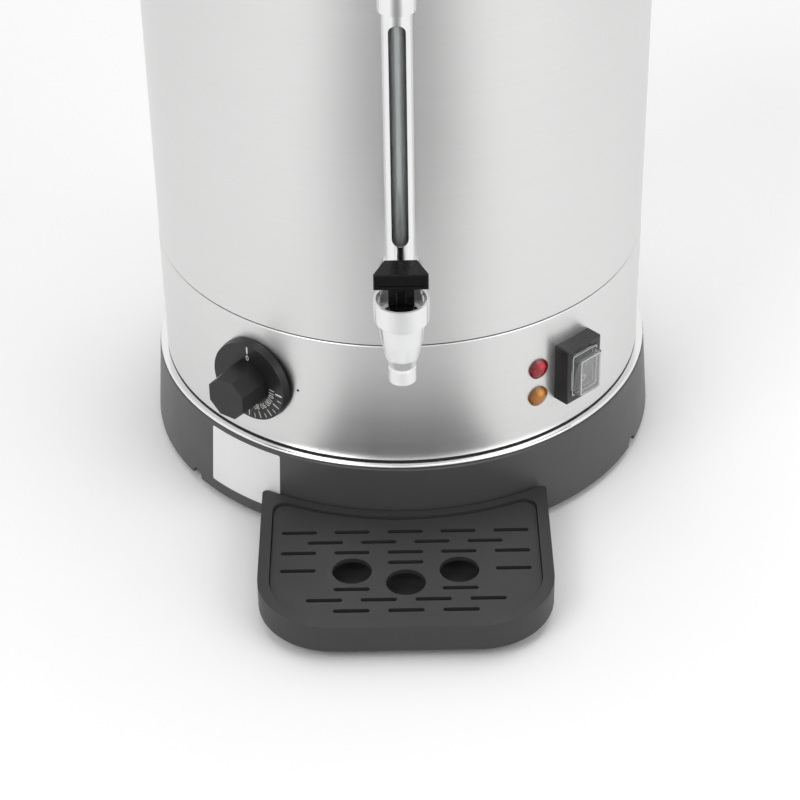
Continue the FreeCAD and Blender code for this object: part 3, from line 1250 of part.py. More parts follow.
NODES = {
    "base_ring": base_ring,
    "bottom_plate": bottom_plate,
    "feet": feet,
    "foot_screws": foot_screws,
    "base_screws": base_screws,
    "trim_flange": trim_flange,
    "band_gasket": band_gasket,
    "control_band": control_band,
    "seam_gasket": seam_gasket,
    "outer_shell": outer_shell,
    "inner_tank": inner_tank,
    "heater_plate": heater_plate,
    "main_element": lambda: element(MAIN_RING_R),
    "keep_warm_element": lambda: element(WARM_RING_R),
    "clamp_bar": clamp_bar,
    "clamp_nut": clamp_nut,
    "sensor_bulb": sensor_bulb,
    "boil_dry_cutout": boil_dry_cutout,
    "reset_button": reset_button,
    "terminal_block": terminal_block,
    "gland_body": gland_body,
    "gland_cap": gland_cap,
    "gland_nut": gland_nut,
    "thermostat": thermostat,
    "bush_nut": bush_nut,
    "dial_shaft": dial_shaft,
    "dial_knob": dial_knob,
    "heating_lens": lambda: lamp_lens(LAMP_HEATING_Z),
    "keep_warm_lens": lambda: lamp_lens(LAMP_WARM_Z),
    "lamp_bodies": lamp_bodies,
    "lamp_nuts": lamp_nuts,
    "switch_bezel": switch_bezel,
    "switch_body": switch_body,
    "switch_rocker": switch_rocker,
    "switch_cover": switch_cover,
    "tap_body": tap_body,
    "tap_gasket": tap_gasket,
    "tank_seal": tank_seal,
    "tank_nut": tank_nut,
    "tap_bonnet": tap_bonnet,
    "tap_stem": tap_stem,
    "tap_seal": tap_seal,
    "tap_spring": tap_spring,
    "lever_pin": lever_pin,
    "tap_lever": tap_lever,
    "gauge_glass": gauge_glass,
    "gauge_seals": gauge_seals,
    "gauge_guard": gauge_guard,
    "guard_cap": guard_cap,
    "guard_bracket": guard_bracket,
    "guard_screw": guard_screw,
    "left_handle": lambda: side_handle(-90.0),
    "right_handle": lambda: side_handle(90.0),
    "handle_screws": handle_screws,
    "lid": lid,
    "knob_ferrule": knob_ferrule,
    "lid_knob": lid_knob,
    "knob_screw": knob_screw,
    "drip_tray": drip_tray,
    "drip_grate": drip_grate,
}

os.makedirs("parts", exist_ok=True)
for name, make in NODES.items():
    make().exportStep(os.path.join("parts", name + ".step"))
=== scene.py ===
"""Hot water urn: finishes, printed marks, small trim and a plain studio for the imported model."""
import json
import math

import bmesh
import bpy
import numpy as np
from mathutils import Matrix, Vector


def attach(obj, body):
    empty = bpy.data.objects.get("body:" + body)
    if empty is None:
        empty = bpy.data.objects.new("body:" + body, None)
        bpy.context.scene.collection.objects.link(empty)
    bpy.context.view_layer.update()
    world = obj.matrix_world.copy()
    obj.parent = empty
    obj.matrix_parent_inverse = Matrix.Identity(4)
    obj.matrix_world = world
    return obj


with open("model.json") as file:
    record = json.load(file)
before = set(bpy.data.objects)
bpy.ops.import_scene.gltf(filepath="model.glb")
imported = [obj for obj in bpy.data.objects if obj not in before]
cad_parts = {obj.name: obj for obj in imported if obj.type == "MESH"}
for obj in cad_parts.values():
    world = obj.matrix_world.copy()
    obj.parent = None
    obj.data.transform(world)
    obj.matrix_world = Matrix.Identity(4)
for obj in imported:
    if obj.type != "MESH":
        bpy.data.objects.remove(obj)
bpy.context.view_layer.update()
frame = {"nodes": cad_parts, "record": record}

bl_info = {
    "name": "Hot water urn dressing",
    "version": (1, 0, 0),
    "blender": (4, 5, 0),
    "location": "3D View > Sidebar > Urn",
    "description": "Finishes, marks, trim and studio for a hot water urn",
    "category": "Object",
}

MM = 0.001

# Camera, from the lines of the urn in its picture
PICTURE_SIDE = 800
FOCAL_PIXELS = 2428.267
SENSOR_MM = 36.0
CAMERA_AT = (0.0, -1.39006, 0.97851)
CAMERA_PITCH = 0.616274
CAMERA_YAW = -0.00147
CAMERA_ROLL = 0.01743

BRUSH_TURN = 0.25
# Reach of the painted shade at a lamp lens's rim and of the painted highlight on it
PAINTED_RIM_SHADE_AT = 7.2 * MM
PAINTED_HIGHLIGHT_REACH = 3.2 * MM
PLATE_EDGE = 0.2 * MM
FIGURE_CAP_SHARE = 0.73


# Node graphs of the finishes

class Signal:
    """A socket of a node graph, whose arithmetic adds Math nodes."""

    def __init__(self, finish, socket):
        self.finish = finish
        self.socket = socket

    def math(self, operation, *operands):
        return self.finish.node("ShaderNodeMath", {"operation": operation}, dict(enumerate(operands)))

    def __add__(self, other):
        return self.math("ADD", self, other)

    def __radd__(self, other):
        return self.math("ADD", other, self)

    def __sub__(self, other):
        return self.math("SUBTRACT", self, other)

    def __rsub__(self, other):
        return self.math("SUBTRACT", other, self)

    def __mul__(self, other):
        return self.math("MULTIPLY", self, other)

    def __rmul__(self, other):
        return self.math("MULTIPLY", other, self)

    def __truediv__(self, other):
        return self.math("DIVIDE", self, other)

    def __pow__(self, other):
        return self.math("POWER", self, other)

    def size(self):
        return self.math("ABSOLUTE", self)

    def held(self):
        """The value kept between 0 and 1."""
        return self.math("MINIMUM", self.math("MAXIMUM", self, 0.0), 1.0)


class Finish:
    """One material: constants are set on its shader, and what varies is linked to it."""

    def __init__(self, name, **constants):
        self.material = bpy.data.materials.new(name)
        self.material.use_nodes = True
        self.tree = self.material.node_tree
        self.shader = self.tree.nodes["Principled BSDF"]
        for words, value in constants.items():
            self.shader.inputs[words.replace("_", " ")].default_value = value

    def node(self, kind, settings=None, values=None, output=0):
        """Adds a node, sets its settings first, then the values or links of its sockets."""
        node = self.tree.nodes.new(kind)
        for setting, value in (settings or {}).items():
            if setting == "stops":
                ramp = node.color_ramp
                for place, (position, colour) in enumerate(value):
                    stop = ramp.elements[place] if place < 2 else ramp.elements.new(position)
                    stop.position = position
                    stop.color = colour
            else:
                setattr(node, setting, value)
        for socket, value in (values or {}).items():
            self.join(node.inputs[socket], value)
        return Signal(self, node.outputs[output])

    def join(self, socket, value):
        if isinstance(value, Signal):
            self.tree.links.new(value.socket, socket)
        else:
            socket.default_value = value

    def feed(self, **signals):
        for words, signal in signals.items():
            self.join(self.shader.inputs[words.replace("_", " ")], signal)
        return self.material

    def place(self):
        return self.node("ShaderNodeTexCoord", output="Object")

    def stretched(self, scale):
        return self.node("ShaderNodeMapping", {"vector_type": "POINT"},
                         {"Vector": self.place(), "Scale": scale})

    def noise(self, scale, detail=3.0, roughness=0.55, vector=None):
        """Noise around 0.5 at a scale per metre, which may differ along X, Y and Z."""
        scale = scale if isinstance(scale, tuple) else (scale, scale, scale)
        return self.node("ShaderNodeTexNoise", {"noise_dimensions": "3D"}, {
            "Vector": vector or self.stretched(scale), "Scale": 1.0,
            "Detail": detail, "Roughness": roughness})

    def cells(self, scale, feature="F1"):
        return self.node("ShaderNodeTexVoronoi", {"feature": feature}, {
            "Vector": self.stretched((scale, scale, scale)), "Scale": 1.0})

    def away(self, point):
        """Distance to a point of the frame."""
        return self.node("ShaderNodeVectorMath", {"operation": "DISTANCE"},
                         {0: self.place(), 1: point}, output="Value")

    def height(self, axis="Z"):
        return self.node("ShaderNodeSeparateXYZ", values={"Vector": self.place()}, output=axis)

    def tint(self, dark, light, share):
        """A colour between two, by a share from 0 to 1."""
        return self.node("ShaderNodeMix", {"data_type": "RGBA", "clamp_factor": True},
                         {0: share, 6: (*dark, 1.0), 7: (*light, 1.0)}, output=2)

    def relief(self, signal, depth):
        """A bump of a real depth in metres."""
        return self.node("ShaderNodeBump", values={
            "Height": signal, "Distance": depth, "Strength": 1.0})


def shade(colour, factor):
    return tuple(min(1.0, part * factor) for part in colour)


def brushed_metal(name, colour, rough, across, along, depth):
    """Steel brushed in rings: fine streaks that run round Z and change quickly with height."""
    finish = Finish(name, Metallic=1.0, Anisotropic=0.55, Anisotropic_Rotation=BRUSH_TURN)
    lines = finish.noise((along, along, across), detail=4.0, roughness=0.7)
    coarse = finish.noise((along * 0.5, along * 0.5, across * 0.22), detail=2.0)
    marks = finish.noise(9.0, detail=2.0)
    strength = lines * 0.7 + coarse * 0.3
    return finish.feed(
        Base_Color=finish.tint(shade(colour, 0.93), shade(colour, 1.05), strength),
        Roughness=rough + (lines - 0.5) * 0.22 + (marks - 0.5) * 0.08,
        Normal=finish.relief(strength, depth))


def lid_metal(name, colour, rough):
    """Spun steel: rings about the axis, from the distance to it."""
    finish = Finish(name, Metallic=1.0, Anisotropic=0.5, Anisotropic_Rotation=BRUSH_TURN)
    x = finish.height("X")
    y = finish.height("Y")
    radius = (x * x + y * y) ** 0.5
    spread = finish.node("ShaderNodeCombineXYZ", values={
        0: radius * 2600.0, 1: x * 12.0, 2: y * 12.0})
    rings = finish.noise(1.0, detail=4.0, roughness=0.7, vector=spread)
    return finish.feed(
        Base_Color=finish.tint(shade(colour, 0.93), shade(colour, 1.05), rings),
        Roughness=rough + (rings - 0.5) * 0.2,
        Normal=finish.relief(rings, 0.000012))


def polished_metal(name, colour, rough, wear=0.05, metallic=1.0):
    """Polished or plated metal: a close, slightly cloudy gloss with hairline scratches."""
    finish = Finish(name, Metallic=metallic)
    cloud = finish.noise(60.0, detail=3.0)
    hair = finish.noise((1500.0, 90.0, 260.0), detail=2.0)
    return finish.feed(
        Base_Color=finish.tint(shade(colour, 0.96), shade(colour, 1.02), cloud),
        Roughness=(rough + (cloud - 0.5) * wear + (hair - 0.62).held() * 0.5).held(),
        Normal=finish.relief(cloud, 0.00003))


def moulded_plastic(name, colour, rough, grain, depth, shine=0.5):
    """Moulded plastic: a spark-eroded grain, faint flow marks and rubbed patches."""
    finish = Finish(name, Metallic=0.0, Specular_IOR_Level=shine)
    pits = finish.noise(grain, detail=3.0, roughness=0.65)
    flow = finish.noise((14.0, 14.0, 30.0), detail=3.0)
    rubbed = finish.noise(45.0, detail=4.0)
    return finish.feed(
        Base_Color=finish.tint(shade(colour, 0.82), shade(colour, 1.2), flow * 0.6 + pits * 0.4),
        Roughness=rough + (pits - 0.5) * 0.2 + (rubbed - 0.5) * 0.12,
        Normal=finish.relief(pits, depth))


def rubber(name, colour):
    """Matt rubber with a powdery bloom."""
    finish = Finish(name, Metallic=0.0, Specular_IOR_Level=0.25)
    bloom = finish.noise(120.0, detail=4.0)
    grain = finish.noise(3200.0, detail=2.0)
    return finish.feed(
        Base_Color=finish.tint(shade(colour, 0.8), shade(colour, 1.6), bloom),
        Roughness=0.72 + (bloom - 0.5) * 0.2,
        Normal=finish.relief(grain, 0.00003))


def worked_metal(name, colour, rough, scale, depth):
    """Cast, plated or machined metal: a mottled tone with a shallow texture."""
    finish = Finish(name, Metallic=1.0)
    mottle = finish.noise(scale, detail=4.0, roughness=0.6)
    spots = finish.cells(scale * 2.2)
    return finish.feed(
        Base_Color=finish.tint(shade(colour, 0.72), shade(colour, 1.12), mottle * 0.7 + spots * 0.3),
        Roughness=rough + (mottle - 0.5) * 0.25,
        Normal=finish.relief(mottle, depth))


def glazed(name, colour, rough):
    """White glazed body or enamelled sheet: gloss with small pinholes and a warm drift of tone."""
    finish = Finish(name, Metallic=0.0, Coat_Weight=0.4, Coat_Roughness=0.1)
    drift = finish.noise(40.0, detail=2.0)
    holes = finish.cells(900.0)
    return finish.feed(
        Base_Color=finish.tint(shade(colour, 0.93), shade(colour, 1.03), drift),
        Roughness=rough + (drift - 0.5) * 0.1,
        Normal=finish.relief((holes * 3.0).held(), 0.00002))


def lamp_lens(name, rim_shade_colour, bright, glow, centre, painted_highlight_at):
    """Coloured lens: facets inside, painted shade at its rim, and a painted highlight near its top; the
    emission takes the same colours.

    The painted rim shade grows with the cube of the distance to the lens's centre, and the painted
    highlight falls off in a straight line from its own point.
    """
    finish = Finish(name, Metallic=0.0, Transmission_Weight=0.1, IOR=1.49,
                    Coat_Weight=0.3, Coat_Roughness=0.03, Emission_Strength=glow)
    # Painted shade: the lens grows darker towards its rim.
    rim = ((finish.away(centre) / PAINTED_RIM_SHADE_AT) ** 3.0).held()
    # Painted highlight: a bright spot near the top of the lens.
    light = (1.0 - finish.away(painted_highlight_at) / PAINTED_HIGHLIGHT_REACH).held()
    spots = finish.cells(620.0)
    body = finish.tint(bright, rim_shade_colour, (rim + spots * 0.25).held())
    colour = finish.node("ShaderNodeMix", {"data_type": "RGBA"},
                         {0: light * 0.85, 6: body, 7: (*shade(bright, 2.4), 1.0)}, output=2)
    # The painted highlight and the painted rim shade go into the emission colour as well.
    return finish.feed(
        Base_Color=colour, Emission_Color=colour,
        Roughness=0.12 + spots * 0.06,
        Normal=finish.relief(spots, 0.00010))


def clear_plastic(name, colour, rough, weight):
    """Clear moulding: glassy, with faint flow lines in its gloss."""
    finish = Finish(name, Metallic=0.0, Transmission_Weight=weight, IOR=1.46)
    flow = finish.noise((200.0, 200.0, 60.0), detail=2.0)
    return finish.feed(
        Base_Color=finish.tint(shade(colour, 0.96), colour, flow),
        Roughness=rough + (flow - 0.5) * 0.06,
        Normal=finish.relief(flow, 0.00002))


def print_ink(name, colour):
    """Printed ink: matt, a little broken at the small scale."""
    finish = Finish(name, Metallic=0.0, Specular_IOR_Level=0.3)
    broken = finish.noise(2600.0, detail=3.0)
    return finish.feed(
        Base_Color=finish.tint(shade(colour, 0.86), shade(colour, 1.04), broken),
        Roughness=0.55 + (broken - 0.5) * 0.2,
        Normal=finish.relief(broken, 0.00001))


def plate_film(name, colour):
    """White film of the blank plate: satin, with a slight orange-peel surface."""
    finish = Finish(name, Metallic=0.0, Specular_IOR_Level=0.4)
    peel = finish.noise(900.0, detail=2.0)
    drift = finish.noise(30.0, detail=3.0)
    return finish.feed(
        Base_Color=finish.tint(shade(colour, 0.95), shade(colour, 1.02), drift),
        Roughness=0.4 + (drift - 0.5) * 0.15,
        Normal=finish.relief(peel, 0.00001))


# Surfaces

def mesh_piece(name, points, faces, body, finish, smooth_angle=0.6):
    """Puts arrays of points and faces into a closed, outward-facing mesh that rides on a body."""
    mesh = bpy.data.meshes.new(name)
    mesh.from_pydata(points.reshape(-1, 3).tolist(), [], faces.reshape(-1, 4).tolist())
    tidy = bmesh.new()
    tidy.from_mesh(mesh)
    bmesh.ops.remove_doubles(tidy, verts=tidy.verts, dist=1e-7)
    bmesh.ops.dissolve_degenerate(tidy, edges=tidy.edges, dist=1e-8)
    bmesh.ops.recalc_face_normals(tidy, faces=tidy.faces)
    tidy.to_mesh(mesh)
    tidy.free()
    piece = bpy.data.objects.new(name, mesh)
    bpy.context.scene.collection.objects.link(piece)
    mesh.materials.append(finish)
    mesh.shade_smooth()
    mesh.set_sharp_from_angle(angle=smooth_angle)
    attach(piece, body)
    return piece


def grid_faces(rows, columns, start=0, wrap=False):
    """Quads of a grid of rows by columns of points, as one array."""
    across = columns if wrap else columns - 1
    row, column = np.meshgrid(np.arange(rows - 1), np.arange(across), indexing="ij")
    beside = (column + 1) % columns
    here = start + row * columns
    return np.stack([here + column, here + beside, here + columns + beside, here + columns + column],
                    axis=-1).reshape(-1, 4)


def wall_axes(azimuth):
    """Outward, rightward and upward directions on the urn's wall at an azimuth from the front."""
    angle = math.radians(azimuth)
    out = np.array([math.sin(angle), -math.cos(angle), 0.0])
    right = np.array([math.cos(angle), math.sin(angle), 0.0])
    return out, right, np.array([0.0, 0.0, 1.0])


def rounded_half_width(v, half_width, half_height, corner):
    """Half the width of a rounded rectangle at each height v, from the circle of its corner."""
    over = np.clip(np.abs(v) - (half_height - corner), 0.0, corner)
    return half_width - corner + np.sqrt(np.maximum(corner ** 2 - over ** 2, 0.0))


def plate_patch(on_surface, half_width, half_height, corner, thick, rows=24, columns=32):
    """A thin plate: a rounded rectangle of two parameters, laid on a surface.

    The top is the surface offset by the thickness, which falls to zero over the last
    fifth of a millimetre at the edge. The back is the same grid laid on the surface.
    """
    v = half_height * np.sin(np.linspace(-math.pi / 2, math.pi / 2, rows))
    u = np.sin(np.linspace(-math.pi / 2, math.pi / 2, columns))
    wide = rounded_half_width(v, half_width, half_height, corner)
    across = u[None, :] * wide[:, None]
    up = np.repeat(v[:, None], columns, axis=1)
    edge = np.minimum(wide[:, None] - np.abs(across), half_height - np.abs(up))
    rise = thick * np.clip(edge / PLATE_EDGE, 0.0, 1.0) ** 0.5
    top = on_surface(across, up, rise)
    back = on_surface(across, up, np.zeros_like(rise))
    count = rows * columns
    faces = np.concatenate([grid_faces(rows, columns), grid_faces(rows, columns, count)[:, ::-1]])
    return np.concatenate([top.reshape(-1, 3), back.reshape(-1, 3)]), faces


def ridge(path, right, out, half_width, thick, sides=10):
    """A low bead carried along a path: a half ellipse across it, with its flat side down.

    The path has n points, and right and out are its directions across and away from
    the surface. The width falls to zero at both ends as a half circle does.
    """
    steps = len(path)
    ends = np.sin(np.linspace(0.0, math.pi, steps)) ** 0.25
    angle = np.linspace(0.0, math.pi, sides)
    section_across = np.concatenate([np.cos(angle), np.linspace(-1.0, 1.0, sides)[1:-1]])
    section_out = np.concatenate([np.sin(angle), np.zeros(sides - 2)])
    points = (path[:, None, :]
              + (ends[:, None, None] * half_width * section_across[None, :, None]) * right
              + (ends[:, None, None] * thick * section_out[None, :, None]) * out)
    return points, grid_faces(steps, len(section_across), wrap=True)


def dome_spot(centre, right, up, out, radius, thick, rings=8, sides=40):
    """A printed or moulded spot: a disc of polar parameters that swells to its thickness."""
    share = np.linspace(0.0, 1.0, rings)
    angle = np.linspace(0.0, 2 * math.pi, sides, endpoint=False)
    swell = thick * np.sqrt(np.maximum(1.0 - share ** 4, 0.0))
    flat = (centre + radius * share[:, None, None]
            * (np.cos(angle)[None, :, None] * right + np.sin(angle)[None, :, None] * up))
    top = flat + swell[:, None, None] * out
    faces = np.concatenate([
        grid_faces(rings, sides, wrap=True),
        grid_faces(rings, sides, rings * sides, wrap=True)[:, ::-1]])
    return np.concatenate([top.reshape(-1, 3), flat.reshape(-1, 3)]), faces


def closed_bead(middle, heading, out, line, thick, around=12):
    """A half-ellipse section carried round a closed path, with its flat side down."""
    steps = len(middle)
    turn = np.linspace(0.0, 2 * math.pi, around, endpoint=False)
    points = (middle[:, None, :] + line * np.cos(turn)[None, :, None] * heading[:, None, :]
              + thick * np.maximum(np.sin(turn), 0.0)[None, :, None] * out)
    row, column = np.meshgrid(np.arange(steps), np.arange(around), indexing="ij")
    after = (row + 1) % steps
    beside = (column + 1) % around
    faces = np.stack([row * around + column, after * around + column,
                      after * around + beside, row * around + beside], axis=-1).reshape(-1, 4)
    return points, faces


def ring_sign(centre, right, up, out, wide, tall, line, thick, sides=48):
    """The off sign: a bead round an ellipse."""
    angle = np.linspace(0.0, 2 * math.pi, sides, endpoint=False)
    heading = np.cos(angle)[:, None] * right + np.sin(angle)[:, None] * up
    middle = centre + np.cos(angle)[:, None] * wide * right + np.sin(angle)[:, None] * tall * up
    return closed_bead(middle, heading, out, line, thick)


def frame_bead(centre, right, up, out, half_width, half_height, corner, line, thick, steps=9):
    """A bead round a rounded rectangle: a quarter circle at each corner, joined by straight runs."""
    quarter = np.linspace(0.0, math.pi / 2, steps)
    angle = np.concatenate([quarter + k * math.pi / 2 for k in range(4)])
    side_x = np.repeat([1.0, -1.0, -1.0, 1.0], steps) * (half_width - corner)
    side_y = np.repeat([1.0, 1.0, -1.0, -1.0], steps) * (half_height - corner)
    heading = np.cos(angle)[:, None] * right + np.sin(angle)[:, None] * up
    middle = centre + side_x[:, None] * right + side_y[:, None] * up + corner * heading
    return closed_bead(middle, heading, out, line, thick)


def merged(parts):
    """Joins several arrays of points and faces into one."""
    points, faces, start = [], [], 0
    for part_points, part_faces in parts:
        flat = part_points.reshape(-1, 3)
        points.append(flat)
        faces.append(part_faces + start)
        start += len(flat)
    return np.concatenate(points), np.concatenate(faces)


def text_mesh(words, height, thick):
    """Flat figures as a mesh, centred on zero in X and standing on it in Y."""
    curve = bpy.data.curves.new("figures", "FONT")
    curve.body = words
    curve.size = height / FIGURE_CAP_SHARE
    curve.align_x = "CENTER"
    curve.extrude = thick / 2
    curve.resolution_u = 3
    carrier = bpy.data.objects.new("figures", curve)
    bpy.context.scene.collection.objects.link(carrier)
    graph = bpy.context.evaluated_depsgraph_get()
    mesh = bpy.data.meshes.new_from_object(carrier.evaluated_get(graph))
    bpy.data.objects.remove(carrier)
    bpy.data.curves.remove(curve)
    return mesh


# What a user would change

def colour_of(name, description, default):
    return bpy.props.FloatVectorProperty(
        name=name, description=description, default=default, size=3,
        min=0.0, max=1.0, subtype="COLOR")


def length_of(name, description, default):
    return bpy.props.FloatProperty(
        name=name, description=description, default=default, min=0.0, unit="LENGTH")


def angle_of(name, description, default):
    return bpy.props.FloatProperty(
        name=name, description=description, default=math.radians(default), subtype="ANGLE")


class UrnSizes(bpy.types.PropertyGroup):
    """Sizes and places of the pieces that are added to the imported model."""

    wall_radius: length_of("Wall radius", "Radius of the brushed control band", 160.0 * MM)
    base_low_radius: length_of("Base foot radius", "Radius of the base ring at its foot", 169.0 * MM)
    base_top_radius: length_of("Base top radius", "Radius of the base ring at its top", 165.2 * MM)
    base_low: length_of("Base foot height", "Height of the base ring's foot", 5.0 * MM)
    base_top: length_of("Base top height", "Height of the base ring's top", 57.0 * MM)
    plate_from: angle_of("Plate start", "Azimuth of the blank plate's left edge", -48.4)
    plate_to: angle_of("Plate end", "Azimuth of the blank plate's right edge", -28.6)
    plate_low: length_of("Plate foot", "Height of the blank plate's lower edge", 12.8 * MM)
    plate_high: length_of("Plate head", "Height of the blank plate's upper edge", 54.4 * MM)
    plate_thick: length_of("Plate thickness", "Thickness of the white film", 0.12 * MM)
    plate_corner: length_of("Plate corner", "Radius of the plate's corners", 1.4 * MM)
    dial_azimuth: angle_of("Dial azimuth", "Where the dial stands round the urn", -35.6)
    dial_height: length_of("Dial height", "Height of the dial's shaft", 105.9 * MM)
    dial_face: length_of("Dial face", "Radius from the urn's axis to the dial's face", 166.5 * MM)
    figure_height: length_of("Figure height", "Height of the figures on the dial", 4.1 * MM)
    ink_thick: length_of("Ink thickness", "How far printed marks stand proud", 0.06 * MM)
    spot_azimuth: angle_of("Pointer azimuth", "Where the pointer spot stands", -24.2)
    spot_radius: length_of("Pointer radius", "Radius of the pointer spot", 0.9 * MM)
    switch_azimuth: angle_of("Switch azimuth", "Where the switch stands round the urn", 42.4)
    switch_height: length_of("Switch height", "Height of the switch's middle", 104.0 * MM)
    cover_face: length_of("Cover face", "How far the switch cover's face stands off the band", 16.4 * MM)
    cover_wide: length_of("Cover width", "Width of the cover's box", 19.0 * MM)
    cover_tall: length_of("Cover height", "Height of the cover's box", 27.0 * MM)
    lamp_azimuth: angle_of("Lamp azimuth", "Where both lamps stand round the urn", 32.2)
    heating_height: length_of("Red lamp height", "Height of the red lamp", 112.3 * MM)
    warm_height: length_of("Amber lamp height", "Height of the amber lamp", 91.4 * MM)
    weld_azimuth: angle_of("Weld azimuth", "Where the sheet's seam is welded", 161.0)
    weld_width: length_of("Weld width", "Width of the dressed weld", 1.6 * MM)
    floor_side: length_of("Floor side", "Side of the studio floor", 14.0)


class UrnColours(bpy.types.PropertyGroup):
    """Colours of the finishes."""

    steel: colour_of("Brushed steel", "Shell, band and lid", (0.72, 0.72, 0.715))
    tank: colour_of("Tank steel", "Tank and bottom plate", (0.58, 0.585, 0.59))
    bright: colour_of("Bright steel", "Trim flange and gauge guard", (0.84, 0.84, 0.84))
    chrome: colour_of("Chrome", "Tap and knob ferrule", (0.84, 0.843, 0.845))
    base: colour_of("Base plastic", "Base ring", (0.058, 0.058, 0.060))
    tray: colour_of("Tray plastic", "Drip tray and grate", (0.030, 0.030, 0.031))
    grip: colour_of("Grip plastic", "Handles and knobs", (0.012, 0.012, 0.0125))
    lever: colour_of("Lever plastic", "Tap lever and its tower", (0.005, 0.005, 0.005))
    switch: colour_of("Switch plastic", "Bezel of the switch", (0.016, 0.016, 0.018))
    rocker: colour_of("Rocker", "Rocker under the clear cover", (0.10, 0.10, 0.102))
    rubber: colour_of("Rubber", "Feet, gaskets and seals", (0.022, 0.022, 0.022))
    red: colour_of("Red lens", "Lamp that shows heating", (0.36, 0.008, 0.02))
    amber: colour_of("Amber lens", "Lamp that shows keep warm", (0.50, 0.17, 0.010))
    ink: colour_of("Ink", "Printed marks", (0.72, 0.72, 0.70))
    film: colour_of("Plate film", "Blank plate on the base", (0.82, 0.82, 0.82))
    floor: colour_of("Floor", "Studio floor", (0.955, 0.955, 0.955))
    flag: colour_of("Flag", "Card that the steel's middle reflects", (0.30, 0.30, 0.30))


# Operators

METAL_NODES = {
    "brushed_steel": ("outer_shell", "control_band"),
    "spun_steel": ("lid",),
    "tank_steel": ("inner_tank", "bottom_plate"),
    "bright_trim": ("trim_flange", "gauge_guard", "guard_cap", "guard_bracket"),
    "chrome": ("tap_body", "knob_ferrule"),
}


def give(material, *names):
    """Gives a material to every slot of the named CAD nodes."""
    for name in names:
        node = frame["nodes"][name]
        if not node.material_slots:
            node.data.materials.append(material)
        for place in node.material_slots:
            place.material = material


def nodes_in(*slots):
    """The CAD nodes that the record puts in the named material slots."""
    return [part["node"] for part in frame["record"]["subparts"] if part["material_slot"] in slots]


class URN_OT_steel(bpy.types.Operator):
    """Brushed, spun and polished steel on the shells, lid, tank, trim and tap"""

    bl_idname = "urn.steel"
    bl_label = "Steel and chrome"

    def execute(self, context):
        colours = context.scene.urn_colours
        finishes = {
            "brushed_steel": brushed_metal("shell_steel", tuple(colours.steel), 0.34, 2400.0, 5.0, 0.00001),
            "spun_steel": lid_metal("lid_steel", tuple(colours.steel), 0.3),
            "tank_steel": brushed_metal("tank_satin", tuple(colours.tank), 0.42, 1600.0, 9.0, 0.000008),
            "bright_trim": polished_metal("trim_polish", tuple(colours.bright), 0.16),
            "chrome": polished_metal("chrome_plate", tuple(colours.chrome), 0.14, 0.03, 0.45),
        }
        for kind, names in METAL_NODES.items():
            give(finishes[kind], *names)
        return {"FINISHED"}


class URN_OT_fittings(bpy.types.Operator):
    """Zinc, brass, aluminium, element steel and ceramic on the fittings"""

    bl_idname = "urn.fittings"
    bl_label = "Fittings and heater"

    def execute(self, context):
        for name, slot, colour, rough, scale, depth in (
                ("zinc_plate", "zinc_steel", (0.52, 0.53, 0.55), 0.34, 180.0, 0.00001),
                ("turned_brass", "brass", (0.62, 0.43, 0.18), 0.3, 240.0, 0.00001),
                ("cast_aluminium", "aluminium", (0.55, 0.55, 0.56), 0.5, 420.0, 0.00004),
                ("annealed_sheath", "element_steel", (0.30, 0.27, 0.24), 0.42, 130.0, 0.00001)):
            give(worked_metal(name, colour, rough, scale, depth), *nodes_in(slot))
        give(glazed("glazed_ceramic", (0.78, 0.75, 0.66), 0.22), *nodes_in("ceramic"))
        return {"FINISHED"}


class URN_OT_plastics(bpy.types.Operator):
    """Moulded plastics and rubber"""

    bl_idname = "urn.plastics"
    bl_label = "Plastics and rubber"

    def execute(self, context):
        colours = context.scene.urn_colours
        give(moulded_plastic("base_plastic", tuple(colours.base), 0.42, 2600.0, 0.00002),
             *nodes_in("black_plastic"))
        give(moulded_plastic("tray_plastic", tuple(colours.tray), 0.52, 2600.0, 0.00002, 0.45),
             "drip_tray", "drip_grate")
        give(moulded_plastic("grip_plastic", tuple(colours.grip), 0.34, 1800.0, 0.000006, 0.4),
             *nodes_in("handle_plastic"))
        give(moulded_plastic("lever_plastic", tuple(colours.lever), 0.28, 1500.0, 0.000004, 0.16),
             "tap_lever", "tap_bonnet")
        give(moulded_plastic("switch_plastic", tuple(colours.switch), 0.3, 1500.0, 0.000005),
             *nodes_in("switch_black"))
        give(moulded_plastic("rocker_plastic", tuple(colours.rocker), 0.36, 1500.0, 0.000005),
             "switch_rocker")
        give(moulded_plastic("nylon", (0.05, 0.05, 0.05), 0.4, 1500.0, 0.00001), *nodes_in("nylon"))
        give(moulded_plastic("reset_plastic", (0.42, 0.02, 0.02), 0.35, 1500.0, 0.000006),
             *nodes_in("red_plastic"))
        give(moulded_plastic("stem_plastic", tuple(colours.lever), 0.32, 1400.0, 0.000006, 0.3),
             *nodes_in("stem_plastic"))
        give(rubber("black_rubber", tuple(colours.rubber)), *nodes_in("rubber"))
        return {"FINISHED"}


